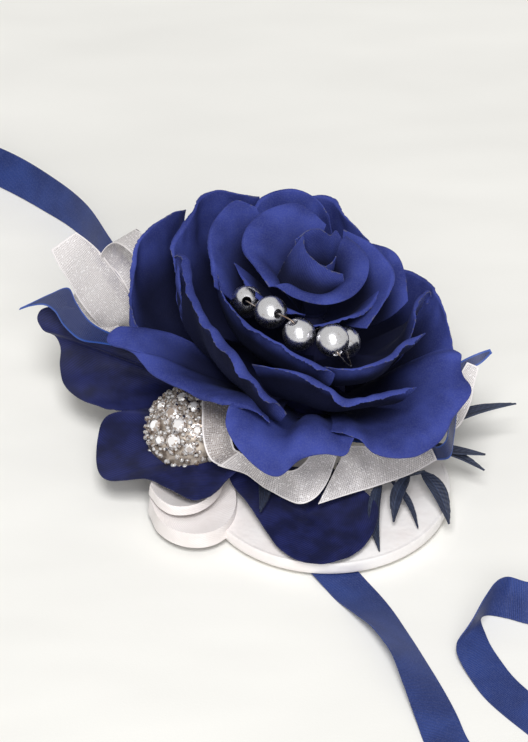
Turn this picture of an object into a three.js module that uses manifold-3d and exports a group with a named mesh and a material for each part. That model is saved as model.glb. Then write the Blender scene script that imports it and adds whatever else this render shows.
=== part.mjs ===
// Wrist corsage: a blue artificial rose on a round satin covered base, with beads, diamante,
// organza and satin loops, leaves and a ribbon tie. Millimetres, +Z up.
// The origin is the middle of the underside of the base.
// Azimuths are in degrees about the rose axis: 0 is +X, 90 is the back (+Y), 270 is the front.

import * as THREE from 'three';
import { mergeVertices } from 'three/addons/utils/BufferGeometryUtils.js';
import Module from 'manifold-3d';

const wasm = await Module();
wasm.setup();

// Driving dimensions of the whole
const CLEARANCE = 0.3;
const SPREAD = 80;
const ROSE_RADIUS = 45;
const ROSE_HEIGHT = 64;
const ROSE_X = -3.5;
const ROSE_Y = 15.5;
const FLOOR_GAP = 0.05;

// Base
const BASE_RADIUS = 30.5;
const FELT_RADIUS = 28;
const FELT_THICKNESS = 0.5;
const CARD_THICKNESS = 2.4;
const SATIN_THICKNESS = 0.5;
const RIM_BAND_THICKNESS = 0.6;
const MOUND_RADIUS = 13;
const MOUND_TOP_RADIUS = 6;
const MOUND_HEIGHT = 9;

// Tie ribbon
const RIBBON_WIDTH = 10;
const RIBBON_THICKNESS = 0.4;
const COIL_RADIUS = 15;
const COIL_PITCH = 2.6;
const COIL_TURNS = 2;
const COIL_STEPS_PER_TURN = 24;

// Rose
const HUB_RADIUS = 6;
const HUB_HEIGHT = ROSE_HEIGHT / 2;
const BUD_CORE_HEIGHT = 7.5;
const BUD_CORE_RADIUS = 3.2;
const PETAL_THICKNESS = 0.6;
const FIRST_ROOT_DROP = 3;
const ROOT_STEP = 1.45;

// Cloth pieces
const LEAF_THICKNESS = 0.6;
const ORGANZA_THICKNESS = 0.5;
const SATIN_LOOP_THICKNESS = 0.6;
const BLUE_LOOP_THICKNESS = 0.5;
const SPRIG_THICKNESS = 0.7;

// Beads and diamante
const BEAD_RADIUS = 4;
const BEAD_BORE_RADIUS = 1;
const WIRE_RADIUS = 0.3;
const DIAMANTE_RADIUS = 11;
const DIAMANTE_HEIGHT = 7.5;

// Heights worked out from the stack of layers in the base
const CARD_BOTTOM = FELT_THICKNESS + CLEARANCE + RIBBON_THICKNESS + CLEARANCE;
const SATIN_BOTTOM = CARD_BOTTOM + CARD_THICKNESS + CLEARANCE;
const BASE_TOP = SATIN_BOTTOM + SATIN_THICKNESS;
const MOUND_BOTTOM = BASE_TOP + CLEARANCE;
const HUB_BOTTOM = MOUND_BOTTOM + MOUND_HEIGHT + CLEARANCE;
const BUD_BOTTOM = HUB_BOTTOM + HUB_HEIGHT + CLEARANCE;
const CARD_RADIUS = BASE_RADIUS - RIM_BAND_THICKNESS - CLEARANCE;

// How finely the curved pieces are cut
const ROUND_SIDES = 40;
const PETAL_RAYS = 9;
const PETAL_STEPS = 5;
const STRIP_STEPS = 12;
const LEAF_RAYS = 13;
const LEAF_STEPS = 4;
const BEAD_SIDES = 14;
const BEAD_ARC_STEPS = 7;
const WIRE_SIDES = 5;
const WIRE_STEPS = 56;

// Materials
const cloth = (color, roughness) => new THREE.MeshStandardMaterial({ color, roughness, metalness: 0 });
const materials = {
  petal: cloth(0x232f80, 0.9),
  leafSatin: cloth(0x161c55, 0.55),
  ribbon: cloth(0x1d3580, 0.5),
  blueSheer: cloth(0x1c3f9a, 0.5),
  organza: cloth(0xe6e0dc, 0.5),
  whiteSatin: cloth(0xf1ecea, 0.4),
  sprig: cloth(0x2a3350, 0.7),
  card: cloth(0xe8e4e0, 0.8),
  felt: cloth(0xf2f0ee, 0.95),
  glue: cloth(0xe9e4d6, 0.4),
  core: cloth(0x1c245a, 0.7),
  bead: new THREE.MeshStandardMaterial({ color: 0xb9bcc6, roughness: 0.3, metalness: 1 }),
  wire: new THREE.MeshStandardMaterial({ color: 0xc8c8cc, roughness: 0.3, metalness: 1 }),
  stone: new THREE.MeshStandardMaterial({ color: 0xf4f4f2, roughness: 0.05, metalness: 0 }),
};

const model = new THREE.Group();
const keepClearOf = [];

// Turns a closed geometry into a solid for the boolean steps
function toSolid(geometry) {
  const bare = geometry.clone();
  bare.deleteAttribute('normal');
  bare.deleteAttribute('uv');
  const merged = mergeVertices(bare);
  return new wasm.Manifold(new wasm.Mesh({
    numProp: 3,
    vertProperties: new Float32Array(merged.attributes.position.array),
    triVerts: new Uint32Array(merged.index.array),
  }));
}

function toGeometry(solid) {
  const mesh = solid.getMesh();
  const geometry = new THREE.BufferGeometry();
  geometry.setAttribute('position', new THREE.BufferAttribute(new Float32Array(mesh.vertProperties), 3));
  geometry.setIndex(new THREE.BufferAttribute(new Uint32Array(mesh.triVerts), 1));
  return geometry;
}

function largestBody(solid) {
  const bodies = solid.decompose();
  return bodies.reduce((best, body) => (body.volume() > best.volume() ? body : best));
}

function boxOf(solid) {
  const { min, max } = solid.boundingBox();
  return new THREE.Box3(new THREE.Vector3(...min), new THREE.Vector3(...max));
}

// Takes away from a solid whatever comes too near to the pieces made before it
function clearOfOthers(solid) {
  let rest = solid;
  for (const other of keepClearOf) {
    if (!boxOf(rest).intersectsBox(other.box)) continue;
    rest = largestBody(rest.subtract(other.solid));
  }
  return rest;
}

function addMesh(name, geometry, material) {
  const mesh = new THREE.Mesh(geometry, material);
  mesh.name = name;
  mesh.geometry.computeVertexNormals();
  model.add(mesh);
  return mesh;
}

// Adds a piece as it is, and keeps later pieces the clearance away from its swollen form
function addHard(name, geometry, swollen, material) {
  addMesh(name, geometry, material);
  const solid = toSolid(swollen);
  keepClearOf.push({ solid, box: boxOf(solid) });
}

// Adds a thin cloth piece given by a grid of points, cut clear of all that came before
function addCloth(name, grid, thickness, material) {
  const geometry = toGeometry(clearOfOthers(toSolid(sheetGeometry(grid, thickness))));
  addMesh(name, geometry, material);
  const swollen = toSolid(sheetGeometry(widened(grid, CLEARANCE), thickness + 2 * CLEARANCE));
  const solid = toSolid(geometry);
  keepClearOf.push({ solid: swollen, box: boxOf(swollen) }, { solid, box: boxOf(solid) });
}

// Makes a closed solid of even thickness round a grid of points, grid[row][column]
function sheetGeometry(grid, thickness) {
  const rows = grid.length;
  const columns = grid[0].length;
  const points = [];
  const side = (offset) => {
    for (let i = 0; i < rows; i += 1) {
      for (let j = 0; j < columns; j += 1) {
        const alongRow = new THREE.Vector3().subVectors(
          grid[i][Math.min(j + 1, columns - 1)],
          grid[i][Math.max(j - 1, 0)],
        );
        const alongColumn = new THREE.Vector3().subVectors(
          grid[Math.min(i + 1, rows - 1)][j],
          grid[Math.max(i - 1, 0)][j],
        );
        const normal = alongRow.cross(alongColumn).normalize();
        points.push(grid[i][j].clone().addScaledVector(normal, offset));
      }
    }
  };
  side(thickness / 2);
  side(-thickness / 2);
  const top = (i, j) => i * columns + j;
  const under = (i, j) => rows * columns + i * columns + j;
  const index = [];
  const quad = (a, b, c, d) => index.push(a, b, c, a, c, d);
  for (let i = 0; i < rows - 1; i += 1) {
    for (let j = 0; j < columns - 1; j += 1) {
      quad(top(i, j), top(i, j + 1), top(i + 1, j + 1), top(i + 1, j));
      quad(under(i, j), under(i + 1, j), under(i + 1, j + 1), under(i, j + 1));
    }
  }
  for (let j = 0; j < columns - 1; j += 1) {
    quad(top(0, j), under(0, j), under(0, j + 1), top(0, j + 1));
    quad(top(rows - 1, j), top(rows - 1, j + 1), under(rows - 1, j + 1), under(rows - 1, j));
  }
  for (let i = 0; i < rows - 1; i += 1) {
    quad(top(i, 0), top(i + 1, 0), under(i + 1, 0), under(i, 0));
    quad(top(i, columns - 1), under(i, columns - 1), under(i + 1, columns - 1), top(i + 1, columns - 1));
  }
  const geometry = new THREE.BufferGeometry().setFromPoints(points);
  geometry.setIndex(index);
  return geometry;
}

// Moves the border of a grid outwards by a margin
function widened(grid, margin) {
  const stretched = (inner, edge) => {
    const outward = new THREE.Vector3().subVectors(edge, inner).normalize();
    return edge.clone().addScaledVector(outward, margin);
  };
  const wide = grid.map((row) => [
    stretched(row[1], row[0]),
    ...row.slice(1, -1),
    stretched(row.at(-2), row.at(-1)),
  ]);
  const first = wide[0].map((point, j) => stretched(wide[1][j], point));
  const last = wide.at(-1).map((point, j) => stretched(wide.at(-2)[j], point));
  return [first, ...wide.slice(1, -1), last];
}

const evenly = (count) => Array.from({ length: count }, (_, i) => i / (count - 1));
const inSpread = ([x, y, z]) => new THREE.Vector3(x, y, z).multiplyScalar(SPREAD);
const smooth = (points) => new THREE.CatmullRomCurve3(points, false, 'centripetal');

// A round piece about its own axis, from pairs of radius and height, placed at x, y
function turned(profile, sides, x, y) {
  const geometry = new THREE.LatheGeometry(profile.map(([r, z]) => new THREE.Vector2(r, z)), sides);
  geometry.rotateX(Math.PI / 2);
  geometry.translate(x, y, 0);
  return geometry;
}

function discProfile(radius, topRadius, bottom, top) {
  return [[0, bottom], [radius, bottom], [topRadius, top], [0, top]];
}

// Base: felt underneath, card, satin cover and a band round the rim
function addBase() {
  const disc = (name, radius, bottom, thickness, material) => addHard(
    name,
    turned(discProfile(radius, radius, bottom, bottom + thickness), ROUND_SIDES, 0, 0),
    turned(
      discProfile(radius, radius, bottom - CLEARANCE, bottom + thickness + CLEARANCE),
      ROUND_SIDES, 0, 0,
    ),
    material,
  );
  disc('backing_felt', FELT_RADIUS, 0, FELT_THICKNESS, materials.felt);
  disc('base_card', CARD_RADIUS, CARD_BOTTOM, CARD_THICKNESS, materials.card);
  disc('base_satin_cover', CARD_RADIUS, SATIN_BOTTOM, SATIN_THICKNESS, materials.whiteSatin);

  const bandProfile = (grow) => {
    const inner = BASE_RADIUS - RIM_BAND_THICKNESS - grow;
    const outer = BASE_RADIUS + grow;
    const bottom = CARD_BOTTOM - grow;
    const top = BASE_TOP + grow;
    return [[inner, bottom], [outer, bottom], [outer, top], [inner, top], [inner, bottom]];
  };
  addHard(
    'base_rim_band',
    turned(bandProfile(0), ROUND_SIDES, 0, 0),
    turned(bandProfile(CLEARANCE), ROUND_SIDES, 0, 0),
    materials.whiteSatin,
  );

  const mound = (grow) => turned(
    discProfile(MOUND_RADIUS + grow, MOUND_TOP_RADIUS + grow, MOUND_BOTTOM, MOUND_BOTTOM + MOUND_HEIGHT + grow),
    BEAD_SIDES, ROSE_X, ROSE_Y,
  );
  addHard('glue_mound', mound(0), mound(CLEARANCE), materials.glue);
}

// The hub swells like a rose hip: shares of its radius and of its height
const hubShares = [[1, 0], [1.35, 0.25], [1.15, 0.45], [0.4, 1]];

// Radius of the rose core at a height: the hub below, the bud core above
function coreRadius(height) {
  const up = (height - HUB_BOTTOM) / HUB_HEIGHT;
  const next = hubShares.findIndex(([, share]) => share > up);
  if (next < 1) return BUD_CORE_RADIUS;
  const [[radius, start], [nextRadius, end]] = hubShares.slice(next - 1, next + 1);
  return HUB_RADIUS * (radius + (nextRadius - radius) * (up - start) / (end - start));
}

function addRoseCore() {
  const hub = (grow) => {
    const profile = hubShares.map(([r, z]) => [r * HUB_RADIUS + grow, HUB_BOTTOM + z * HUB_HEIGHT]);
    return turned([[0, HUB_BOTTOM], ...profile, [0, HUB_BOTTOM + HUB_HEIGHT]], BEAD_SIDES, ROSE_X, ROSE_Y);
  };
  addHard('rose_hub', hub(0), hub(CLEARANCE / 2), materials.core);
  const budShares = [[0.6, 0], [1, 0.25], [0.95, 0.6], [0.5, 0.9]];
  const bud = (grow) => {
    const profile = budShares.map(([r, z]) => [
      r * BUD_CORE_RADIUS + grow,
      BUD_BOTTOM + z * BUD_CORE_HEIGHT,
    ]);
    const top = BUD_BOTTOM + BUD_CORE_HEIGHT + grow;
    return turned([[0, BUD_BOTTOM], ...profile, [0, top]], BEAD_SIDES, ROSE_X, ROSE_Y);
  };
  addHard('bud_core', bud(0), bud(CLEARANCE / 2), materials.petal);
}

// Beads: centre and direction of the hole, as shares of the rose's radius and height and of one
const beadPlaces = [
  { name: 'bead_1', centreShares: [180, 0.36, 0.77], holeShares: [0, -0.79, 0.62] },
  { name: 'bead_2', centreShares: [222, 0.31, 0.83], holeShares: [0.46, -0.77, 0.45] },
  { name: 'bead_3', centreShares: [257, 0.355, 0.8], holeShares: [-0.37, 0, 0.93] },
  { name: 'bead_4', centreShares: [283.5, 0.42, 0.805], holeShares: [0.3, -0.92, -0.26] },
  { name: 'bead_5', centreShares: [302, 0.31, 0.715], holeShares: [0.25, -0.6, -0.76] },
];

// A place in the rose from azimuth, share of the radius and share of the height
function inRose([azimuth, radiusShare, heightShare]) {
  const angle = THREE.MathUtils.degToRad(azimuth);
  return new THREE.Vector3(
    ROSE_X + Math.cos(angle) * radiusShare * ROSE_RADIUS,
    ROSE_Y + Math.sin(angle) * radiusShare * ROSE_RADIUS,
    heightShare * ROSE_HEIGHT,
  );
}

// A ball with a straight hole along its own Z axis
function beadGeometry(radius, boreRadius) {
  const mouthAngle = Math.asin(boreRadius / radius);
  const profile = evenly(BEAD_ARC_STEPS + 1).map((share) => {
    const angle = mouthAngle + share * (Math.PI - 2 * mouthAngle);
    return [Math.sin(angle) * radius, -Math.cos(angle) * radius];
  });
  return turned([...profile, profile[0]], BEAD_SIDES, 0, 0);
}

function addBeads() {
  for (const { name, centreShares, holeShares } of beadPlaces) {
    const centre = inRose(centreShares);
    const toHole = new THREE.Quaternion().setFromUnitVectors(
      new THREE.Vector3(0, 0, 1),
      new THREE.Vector3(...holeShares).normalize(),
    );
    const bead = addMesh(name, beadGeometry(BEAD_RADIUS, BEAD_BORE_RADIUS), materials.bead);
    bead.position.copy(centre);
    bead.quaternion.copy(toHole);
    const swollen = new THREE.IcosahedronGeometry(BEAD_RADIUS + 2 * CLEARANCE, 2);
    swollen.translate(centre.x, centre.y, centre.z);
    const solid = toSolid(swollen);
    keepClearOf.push({ solid, box: boxOf(solid) });
  }
}

// The wire runs straight through each bead and loops from one to the next. Each row is a bead and
// the direction in which the wire goes along its hole, or a free place in the rose.
const wireRoute = [
  { placeShares: [176, 0.27, 0.66] },
  { bead: 0, way: 1 },
  { bead: 1, way: 1 },
  { bead: 2, way: -1 },
  { placeShares: [268, 0.26, 0.76] },
  { bead: 3, way: 1 },
  { placeShares: [290, 0.5, 0.73] },
  { placeShares: [297, 0.44, 0.675] },
  { bead: 4, way: -1 },
];

function wirePoints() {
  const points = [];
  for (const { placeShares, bead, way } of wireRoute) {
    if (placeShares) {
      points.push(inRose(placeShares));
      continue;
    }
    const centre = inRose(beadPlaces[bead].centreShares);
    const along = new THREE.Vector3(...beadPlaces[bead].holeShares).normalize().multiplyScalar(way * BEAD_RADIUS);
    for (const share of [-1, -0.5, 0, 0.5, 1]) {
      points.push(centre.clone().addScaledVector(along, share));
    }
  }
  return points;
}

// A closed tube with flat ends along a smooth curve
function tubeGeometry(curve, radius, steps, sides) {
  const frames = curve.computeFrenetFrames(steps, false);
  const points = [];
  for (let i = 0; i <= steps; i += 1) {
    const centre = curve.getPointAt(i / steps);
    for (let k = 0; k < sides; k += 1) {
      const angle = (2 * Math.PI * k) / sides;
      const around = frames.normals[i].clone().multiplyScalar(Math.cos(angle) * radius);
      around.addScaledVector(frames.binormals[i], Math.sin(angle) * radius);
      points.push(around.add(centre));
    }
  }
  const index = [];
  for (let i = 0; i < steps; i += 1) {
    for (let k = 0; k < sides; k += 1) {
      const next = (k + 1) % sides;
      const a = i * sides + k;
      const b = i * sides + next;
      index.push(a, b, b + sides, a, b + sides, a + sides);
    }
  }
  for (let k = 1; k < sides - 1; k += 1) {
    index.push(0, k + 1, k);
    index.push(steps * sides, steps * sides + k, steps * sides + k + 1);
  }
  const geometry = new THREE.BufferGeometry().setFromPoints(points);
  geometry.setIndex(index);
  return geometry;
}

function addWire() {
  const curve = smooth(wirePoints());
  addHard(
    'bead_wire',
    tubeGeometry(curve, WIRE_RADIUS, WIRE_STEPS, WIRE_SIDES),
    tubeGeometry(curve, WIRE_RADIUS + CLEARANCE, WIRE_STEPS, WIRE_SIDES),
    materials.wire,
  );
}

// The two folded petals of the bud. Each row runs from low to rim, and gives places in the rose.
const budFolds = [
  {
    name: 'bud_petal_left',
    rowShares: [
      [[165, 0.209, 0.844], [146, 0.165, 0.938], [111, 0.16, 1.006]],
      [[-167, 0.174, 0.836], [174, 0.122, 0.922], [132, 0.07, 1]],
      [[-139, 0.126, 0.841], [-143, 0.079, 0.916], [-104, 0.043, 0.997]],
      [[-85, 0.149, 0.852], [-73, 0.115, 0.911], [-60, 0.117, 0.981]],
      [[-26, 0.187, 0.82], [-28, 0.19, 0.891], [-35, 0.19, 0.953]],
    ],
  },
  {
    name: 'bud_petal_back',
    rowShares: [
      [[131, 0.102, 0.797], [127, 0.167, 0.898], [126, 0.161, 0.992]],
      [[97, 0.094, 0.805], [98, 0.179, 0.914], [98, 0.2, 1.005]],
      [[63, 0.099, 0.812], [76, 0.172, 0.914], [80, 0.201, 1.009]],
      [[41, 0.118, 0.812], [55, 0.168, 0.917], [61, 0.184, 1]],
      [[24, 0.134, 0.82], [42, 0.176, 0.938], [54, 0.206, 1.02]],
      [[8, 0.168, 0.828], [24, 0.194, 0.938], [44, 0.206, 0.991]],
    ],
  },
];

// Petals from the middle of the rose outwards. rimShares lists azimuth, share of the rose's radius
// and share of its height. belly and shoulder bend each ray from the hub to the rim: share of the
// ray's reach, share of its rise, and a hump as a share of the rose's height.
const petals = [
  {
    name: 'bud_petal_front', turn: -50, arc: 70,
    bellyShares: [0.7, 0.3, 0], shoulderShares: [0.85, 0.8, 0],
    rimShares: [[-158, 0.22, 0.89], [-120, 0.2, 0.88], [-74, 0.24, 0.88], [-41, 0.27, 0.89],
      [-10, 0.29, 0.91], [11, 0.3, 0.945], [25, 0.275, 0.97], [42, 0.25, 0.985]],
  },
  {
    name: 'whorl_petal_back_left', turn: 135, arc: 50,
    bellyShares: [0.3, 0.4, 0], shoulderShares: [0.55, 0.95, 0],
    rimShares: [[198, 0.25, 0.88], [172, 0.31, 0.91], [151, 0.44, 0.94], [135, 0.48, 0.97],
      [119, 0.49, 0.99], [102, 0.47, 1], [91, 0.42, 0.98], [78, 0.34, 0.96]],
  },
  {
    name: 'whorl_petal_right', turn: 5, arc: 45,
    bellyShares: [0.55, 0.3, 0], shoulderShares: [0.85, 0.8, 0],
    rimShares: [[60, 0.33, 0.96], [33, 0.35, 0.95], [22, 0.39, 0.92], [10, 0.43, 0.88],
      [-8, 0.41, 0.85], [-24, 0.38, 0.81], [-38, 0.36, 0.76]],
  },
  {
    name: 'whorl_petal_front_left', turn: 200, arc: 45,
    bellyShares: [0.4, 0.3, 0], shoulderShares: [0.7, 0.8, 0],
    rimShares: [[150, 0.49, 0.83], [165, 0.4, 0.83], [182, 0.32, 0.82], [208, 0.24, 0.82],
      [258, 0.22, 0.82]],
  },
  {
    name: 'whorl_petal_front', turn: 300, arc: 45,
    bellyShares: [0.4, 0.4, 0], shoulderShares: [0.75, 0.85, 0],
    rimShares: [[244, 0.24, 0.77], [276, 0.23, 0.78], [308, 0.27, 0.8], [337, 0.32, 0.81],
      [359, 0.36, 0.82]],
  },
  {
    name: 'inner_petal_left', turn: 150, arc: 40,
    bellyShares: [0.5, 0.1, 0], shoulderShares: [0.75, 0.7, 0],
    rimShares: [[180, 0.53, 0.84], [168, 0.56, 0.88], [159, 0.6, 0.91], [150, 0.64, 0.94],
      [139, 0.68, 0.95], [128, 0.68, 0.97], [121, 0.6, 0.95]],
  },
  {
    name: 'inner_petal_back', turn: 100, arc: 35,
    bellyShares: [0.6, 0.1, 0], shoulderShares: [0.9, 0.6, 0],
    rimShares: [[121, 0.62, 0.91], [116, 0.66, 0.94], [108, 0.67, 0.96], [98, 0.65, 0.97],
      [89, 0.61, 0.95], [80, 0.52, 0.91]],
  },
  {
    name: 'inner_petal_back_right', turn: 45, arc: 35,
    bellyShares: [0.6, 0.1, 0], shoulderShares: [0.85, 0.7, 0],
    rimShares: [[70, 0.48, 0.8], [58, 0.52, 0.81], [50, 0.58, 0.8], [45, 0.64, 0.77],
      [36, 0.62, 0.72], [22, 0.56, 0.66]],
  },
  {
    name: 'inner_petal_front_left', turn: 226, arc: 45,
    bellyShares: [0.85, -0.05, 0], shoulderShares: [1, 0.5, 0],
    rimShares: [[173, 0.53, 0.86], [186, 0.49, 0.84], [206, 0.46, 0.83], [226, 0.45, 0.83],
      [246, 0.46, 0.81], [262, 0.5, 0.79], [274, 0.54, 0.77], [281, 0.59, 0.74]],
  },
  {
    name: 'inner_petal_front_right', turn: 310, arc: 35,
    bellyShares: [0.8, -0.05, 0], shoulderShares: [0.9, 0.6, 0],
    rimShares: [[276, 0.55, 0.76], [284, 0.59, 0.77], [294, 0.62, 0.77], [303, 0.64, 0.77],
      [312, 0.63, 0.77], [324, 0.61, 0.77], [338, 0.64, 0.75]],
  },
  {
    name: 'mid_petal_back_left', turn: 138, arc: 35,
    bellyShares: [0.7, -0.05, 0], shoulderShares: [1, 0.5, 0],
    rimShares: [[163, 0.78, 0.68], [155, 0.82, 0.84], [148, 0.83, 0.89], [143, 0.84, 0.92],
      [136, 0.88, 0.94], [129, 0.85, 0.95], [122, 0.76, 0.95], [114, 0.72, 0.93]],
  },
  {
    name: 'mid_petal_back', turn: 78, arc: 35,
    bellyShares: [0.7, 0, 0], shoulderShares: [0.95, 0.55, 0],
    rimShares: [[102, 0.72, 0.86], [92, 0.72, 0.89], [82, 0.71, 0.89], [70, 0.62, 0.86],
      [58, 0.58, 0.8]],
  },
  {
    name: 'mid_petal_right', turn: 0, arc: 30,
    bellyShares: [0.6, 0, 0], shoulderShares: [0.9, 0.55, 0],
    rimShares: [[-22, 0.55, 0.66], [-5, 0.55, 0.7], [10, 0.57, 0.72], [21, 0.66, 0.7],
      [24, 0.66, 0.64], [22, 0.62, 0.58]],
  },
  {
    name: 'mid_petal_left', turn: 208, arc: 35,
    bellyShares: [0.8, -0.15, 0], shoulderShares: [1, 0.45, 0],
    rimShares: [[172, 0.72, 0.66], [169, 0.74, 0.78], [162, 0.77, 0.86], [165, 0.7, 0.9],
      [189, 0.63, 0.85], [211, 0.61, 0.81], [232, 0.62, 0.78], [249, 0.68, 0.73], [255, 0.7, 0.69]],
  },
  {
    name: 'mid_petal_front', turn: 275, arc: 35,
    bellyShares: [0.7, 0, 0], shoulderShares: [0.9, 0.7, 0],
    rimShares: [[236, 0.58, 0.74], [250, 0.58, 0.76], [262, 0.59, 0.76], [277, 0.64, 0.72],
      [286, 0.67, 0.68], [299, 0.69, 0.67], [309, 0.72, 0.66], [316, 0.76, 0.64]],
  },
  {
    name: 'outer_petal_left', turn: 158, arc: 30,
    bellyShares: [0.8, -0.2, 0], shoulderShares: [1.05, 0.25, 0],
    rimShares: [[169, 0.92, 0.5], [167, 1, 0.56], [166, 1.02, 0.65], [164, 1.01, 0.8],
      [160, 1.02, 0.86], [152, 0.95, 0.91], [145, 0.93, 0.92], [138, 0.94, 0.88]],
  },
  {
    name: 'outer_petal_back', turn: 105, arc: 30,
    bellyShares: [0.7, -0.1, 0], shoulderShares: [1, 0.4, 0],
    rimShares: [[134, 0.92, 0.62], [126, 0.96, 0.72], [110, 0.93, 0.76], [95, 0.92, 0.72],
      [82, 0.88, 0.66], [74, 0.82, 0.58]],
  },
  {
    name: 'outer_petal_right', turn: 30, arc: 30,
    bellyShares: [0.7, -0.05, 0], shoulderShares: [0.95, 0.5, 0],
    rimShares: [[72, 0.8, 0.5], [60, 0.86, 0.54], [46, 0.84, 0.57], [33, 0.8, 0.58],
      [20, 0.79, 0.55], [8, 0.78, 0.48]],
  },
  {
    name: 'low_petal_right', turn: 316, arc: 30,
    bellyShares: [0.4, 0.5, 0.05], shoulderShares: [0.8, 0.95, 0.08],
    rimShares: [[353, 0.74, 0.6], [349, 0.82, 0.62], [343, 0.84, 0.58], [336, 0.93, 0.55],
      [325, 0.91, 0.5], [314, 0.96, 0.48], [301, 0.95, 0.48], [292, 0.88, 0.49], [286, 0.8, 0.56]],
  },
  {
    name: 'low_petal_left', turn: 205, arc: 30,
    bellyShares: [0.4, 0.4, 0.03], shoulderShares: [0.8, 1, 0.05],
    rimShares: [[172, 0.8, 0.56], [173, 0.95, 0.58], [174, 1.07, 0.59], [178, 1.12, 0.56],
      [182, 0.98, 0.54], [192, 0.9, 0.53], [206, 0.78, 0.54], [226, 0.73, 0.58], [244, 0.71, 0.64]],
  },
  {
    name: 'low_petal_front', turn: 260, arc: 28,
    bellyShares: [0.4, 0.7, 0.05], shoulderShares: [0.85, 1, 0.16],
    rimShares: [[233, 0.76, 0.6], [237, 0.85, 0.56], [244, 0.88, 0.49], [257, 0.9, 0.42],
      [265, 0.84, 0.48], [274, 0.83, 0.5], [281, 0.84, 0.49], [286, 0.8, 0.53]],
  },
];

const bezier = (a, b, c, d, t) => {
  const s = 1 - t;
  return s * s * s * a + 3 * s * s * t * b + 3 * s * t * t * c + t * t * t * d;
};

function petalGrid(petal, rank) {
  const rootHeight = BUD_BOTTOM + BUD_CORE_HEIGHT - FIRST_ROOT_DROP - rank * ROOT_STEP;
  const rootRadius = coreRadius(rootHeight) + CLEARANCE;
  const rim = smooth(petal.rimShares.map(inRose));
  const firstAzimuth = petal.rimShares[0][0];
  const lastAzimuth = petal.rimShares.at(-1)[0];
  const sense = Math.sign(lastAzimuth - firstAzimuth);
  return evenly(PETAL_RAYS).map((across) => {
    const edge = rim.getPoint(across);
    const reach = Math.hypot(edge.x - ROSE_X, edge.y - ROSE_Y);
    const rootAngle = THREE.MathUtils.degToRad(petal.turn + sense * petal.arc * (2 * across - 1));
    const edgeAngle = Math.atan2(edge.y - ROSE_Y, edge.x - ROSE_X);
    const swing = Math.atan2(Math.sin(edgeAngle - rootAngle), Math.cos(edgeAngle - rootAngle));
    const radiusOf = (share) => rootRadius + (reach - rootRadius) * share;
    const humpHeight = Math.sin(Math.PI * across) * ROSE_HEIGHT;
    const heightOf = ([, rise, hump]) => rootHeight + (edge.z - rootHeight) * rise + hump * humpHeight;
    const [bellyReach] = petal.bellyShares;
    const [shoulderReach] = petal.shoulderShares;
    return evenly(PETAL_STEPS + 1).map((t) => {
      const radius = bezier(rootRadius, radiusOf(bellyReach), radiusOf(shoulderReach), reach, t);
      const height = bezier(
        rootHeight, heightOf(petal.bellyShares), heightOf(petal.shoulderShares), edge.z, t,
      );
      const angle = rootAngle + swing * t;
      return new THREE.Vector3(
        ROSE_X + Math.cos(angle) * radius,
        ROSE_Y + Math.sin(angle) * radius,
        height,
      );
    });
  });
}

// A strip between two or three edge lines, each row giving one place on every edge
function stripGrid(rowShares, steps, placeOf) {
  const edges = rowShares[0].map((_, k) => smooth(rowShares.map((row) => placeOf(row[k]))));
  return evenly(steps + 1).map((t) => edges.map((edge) => edge.getPoint(t)));
}

function addPetals() {
  for (const { name, rowShares } of budFolds) {
    addCloth(name, stripGrid(rowShares, STRIP_STEPS, inRose), PETAL_THICKNESS, materials.petal);
  }
  petals.forEach((petal, rank) => {
    addCloth(petal.name, petalGrid(petal, rank + budFolds.length), PETAL_THICKNESS, materials.petal);
  });
}

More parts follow.
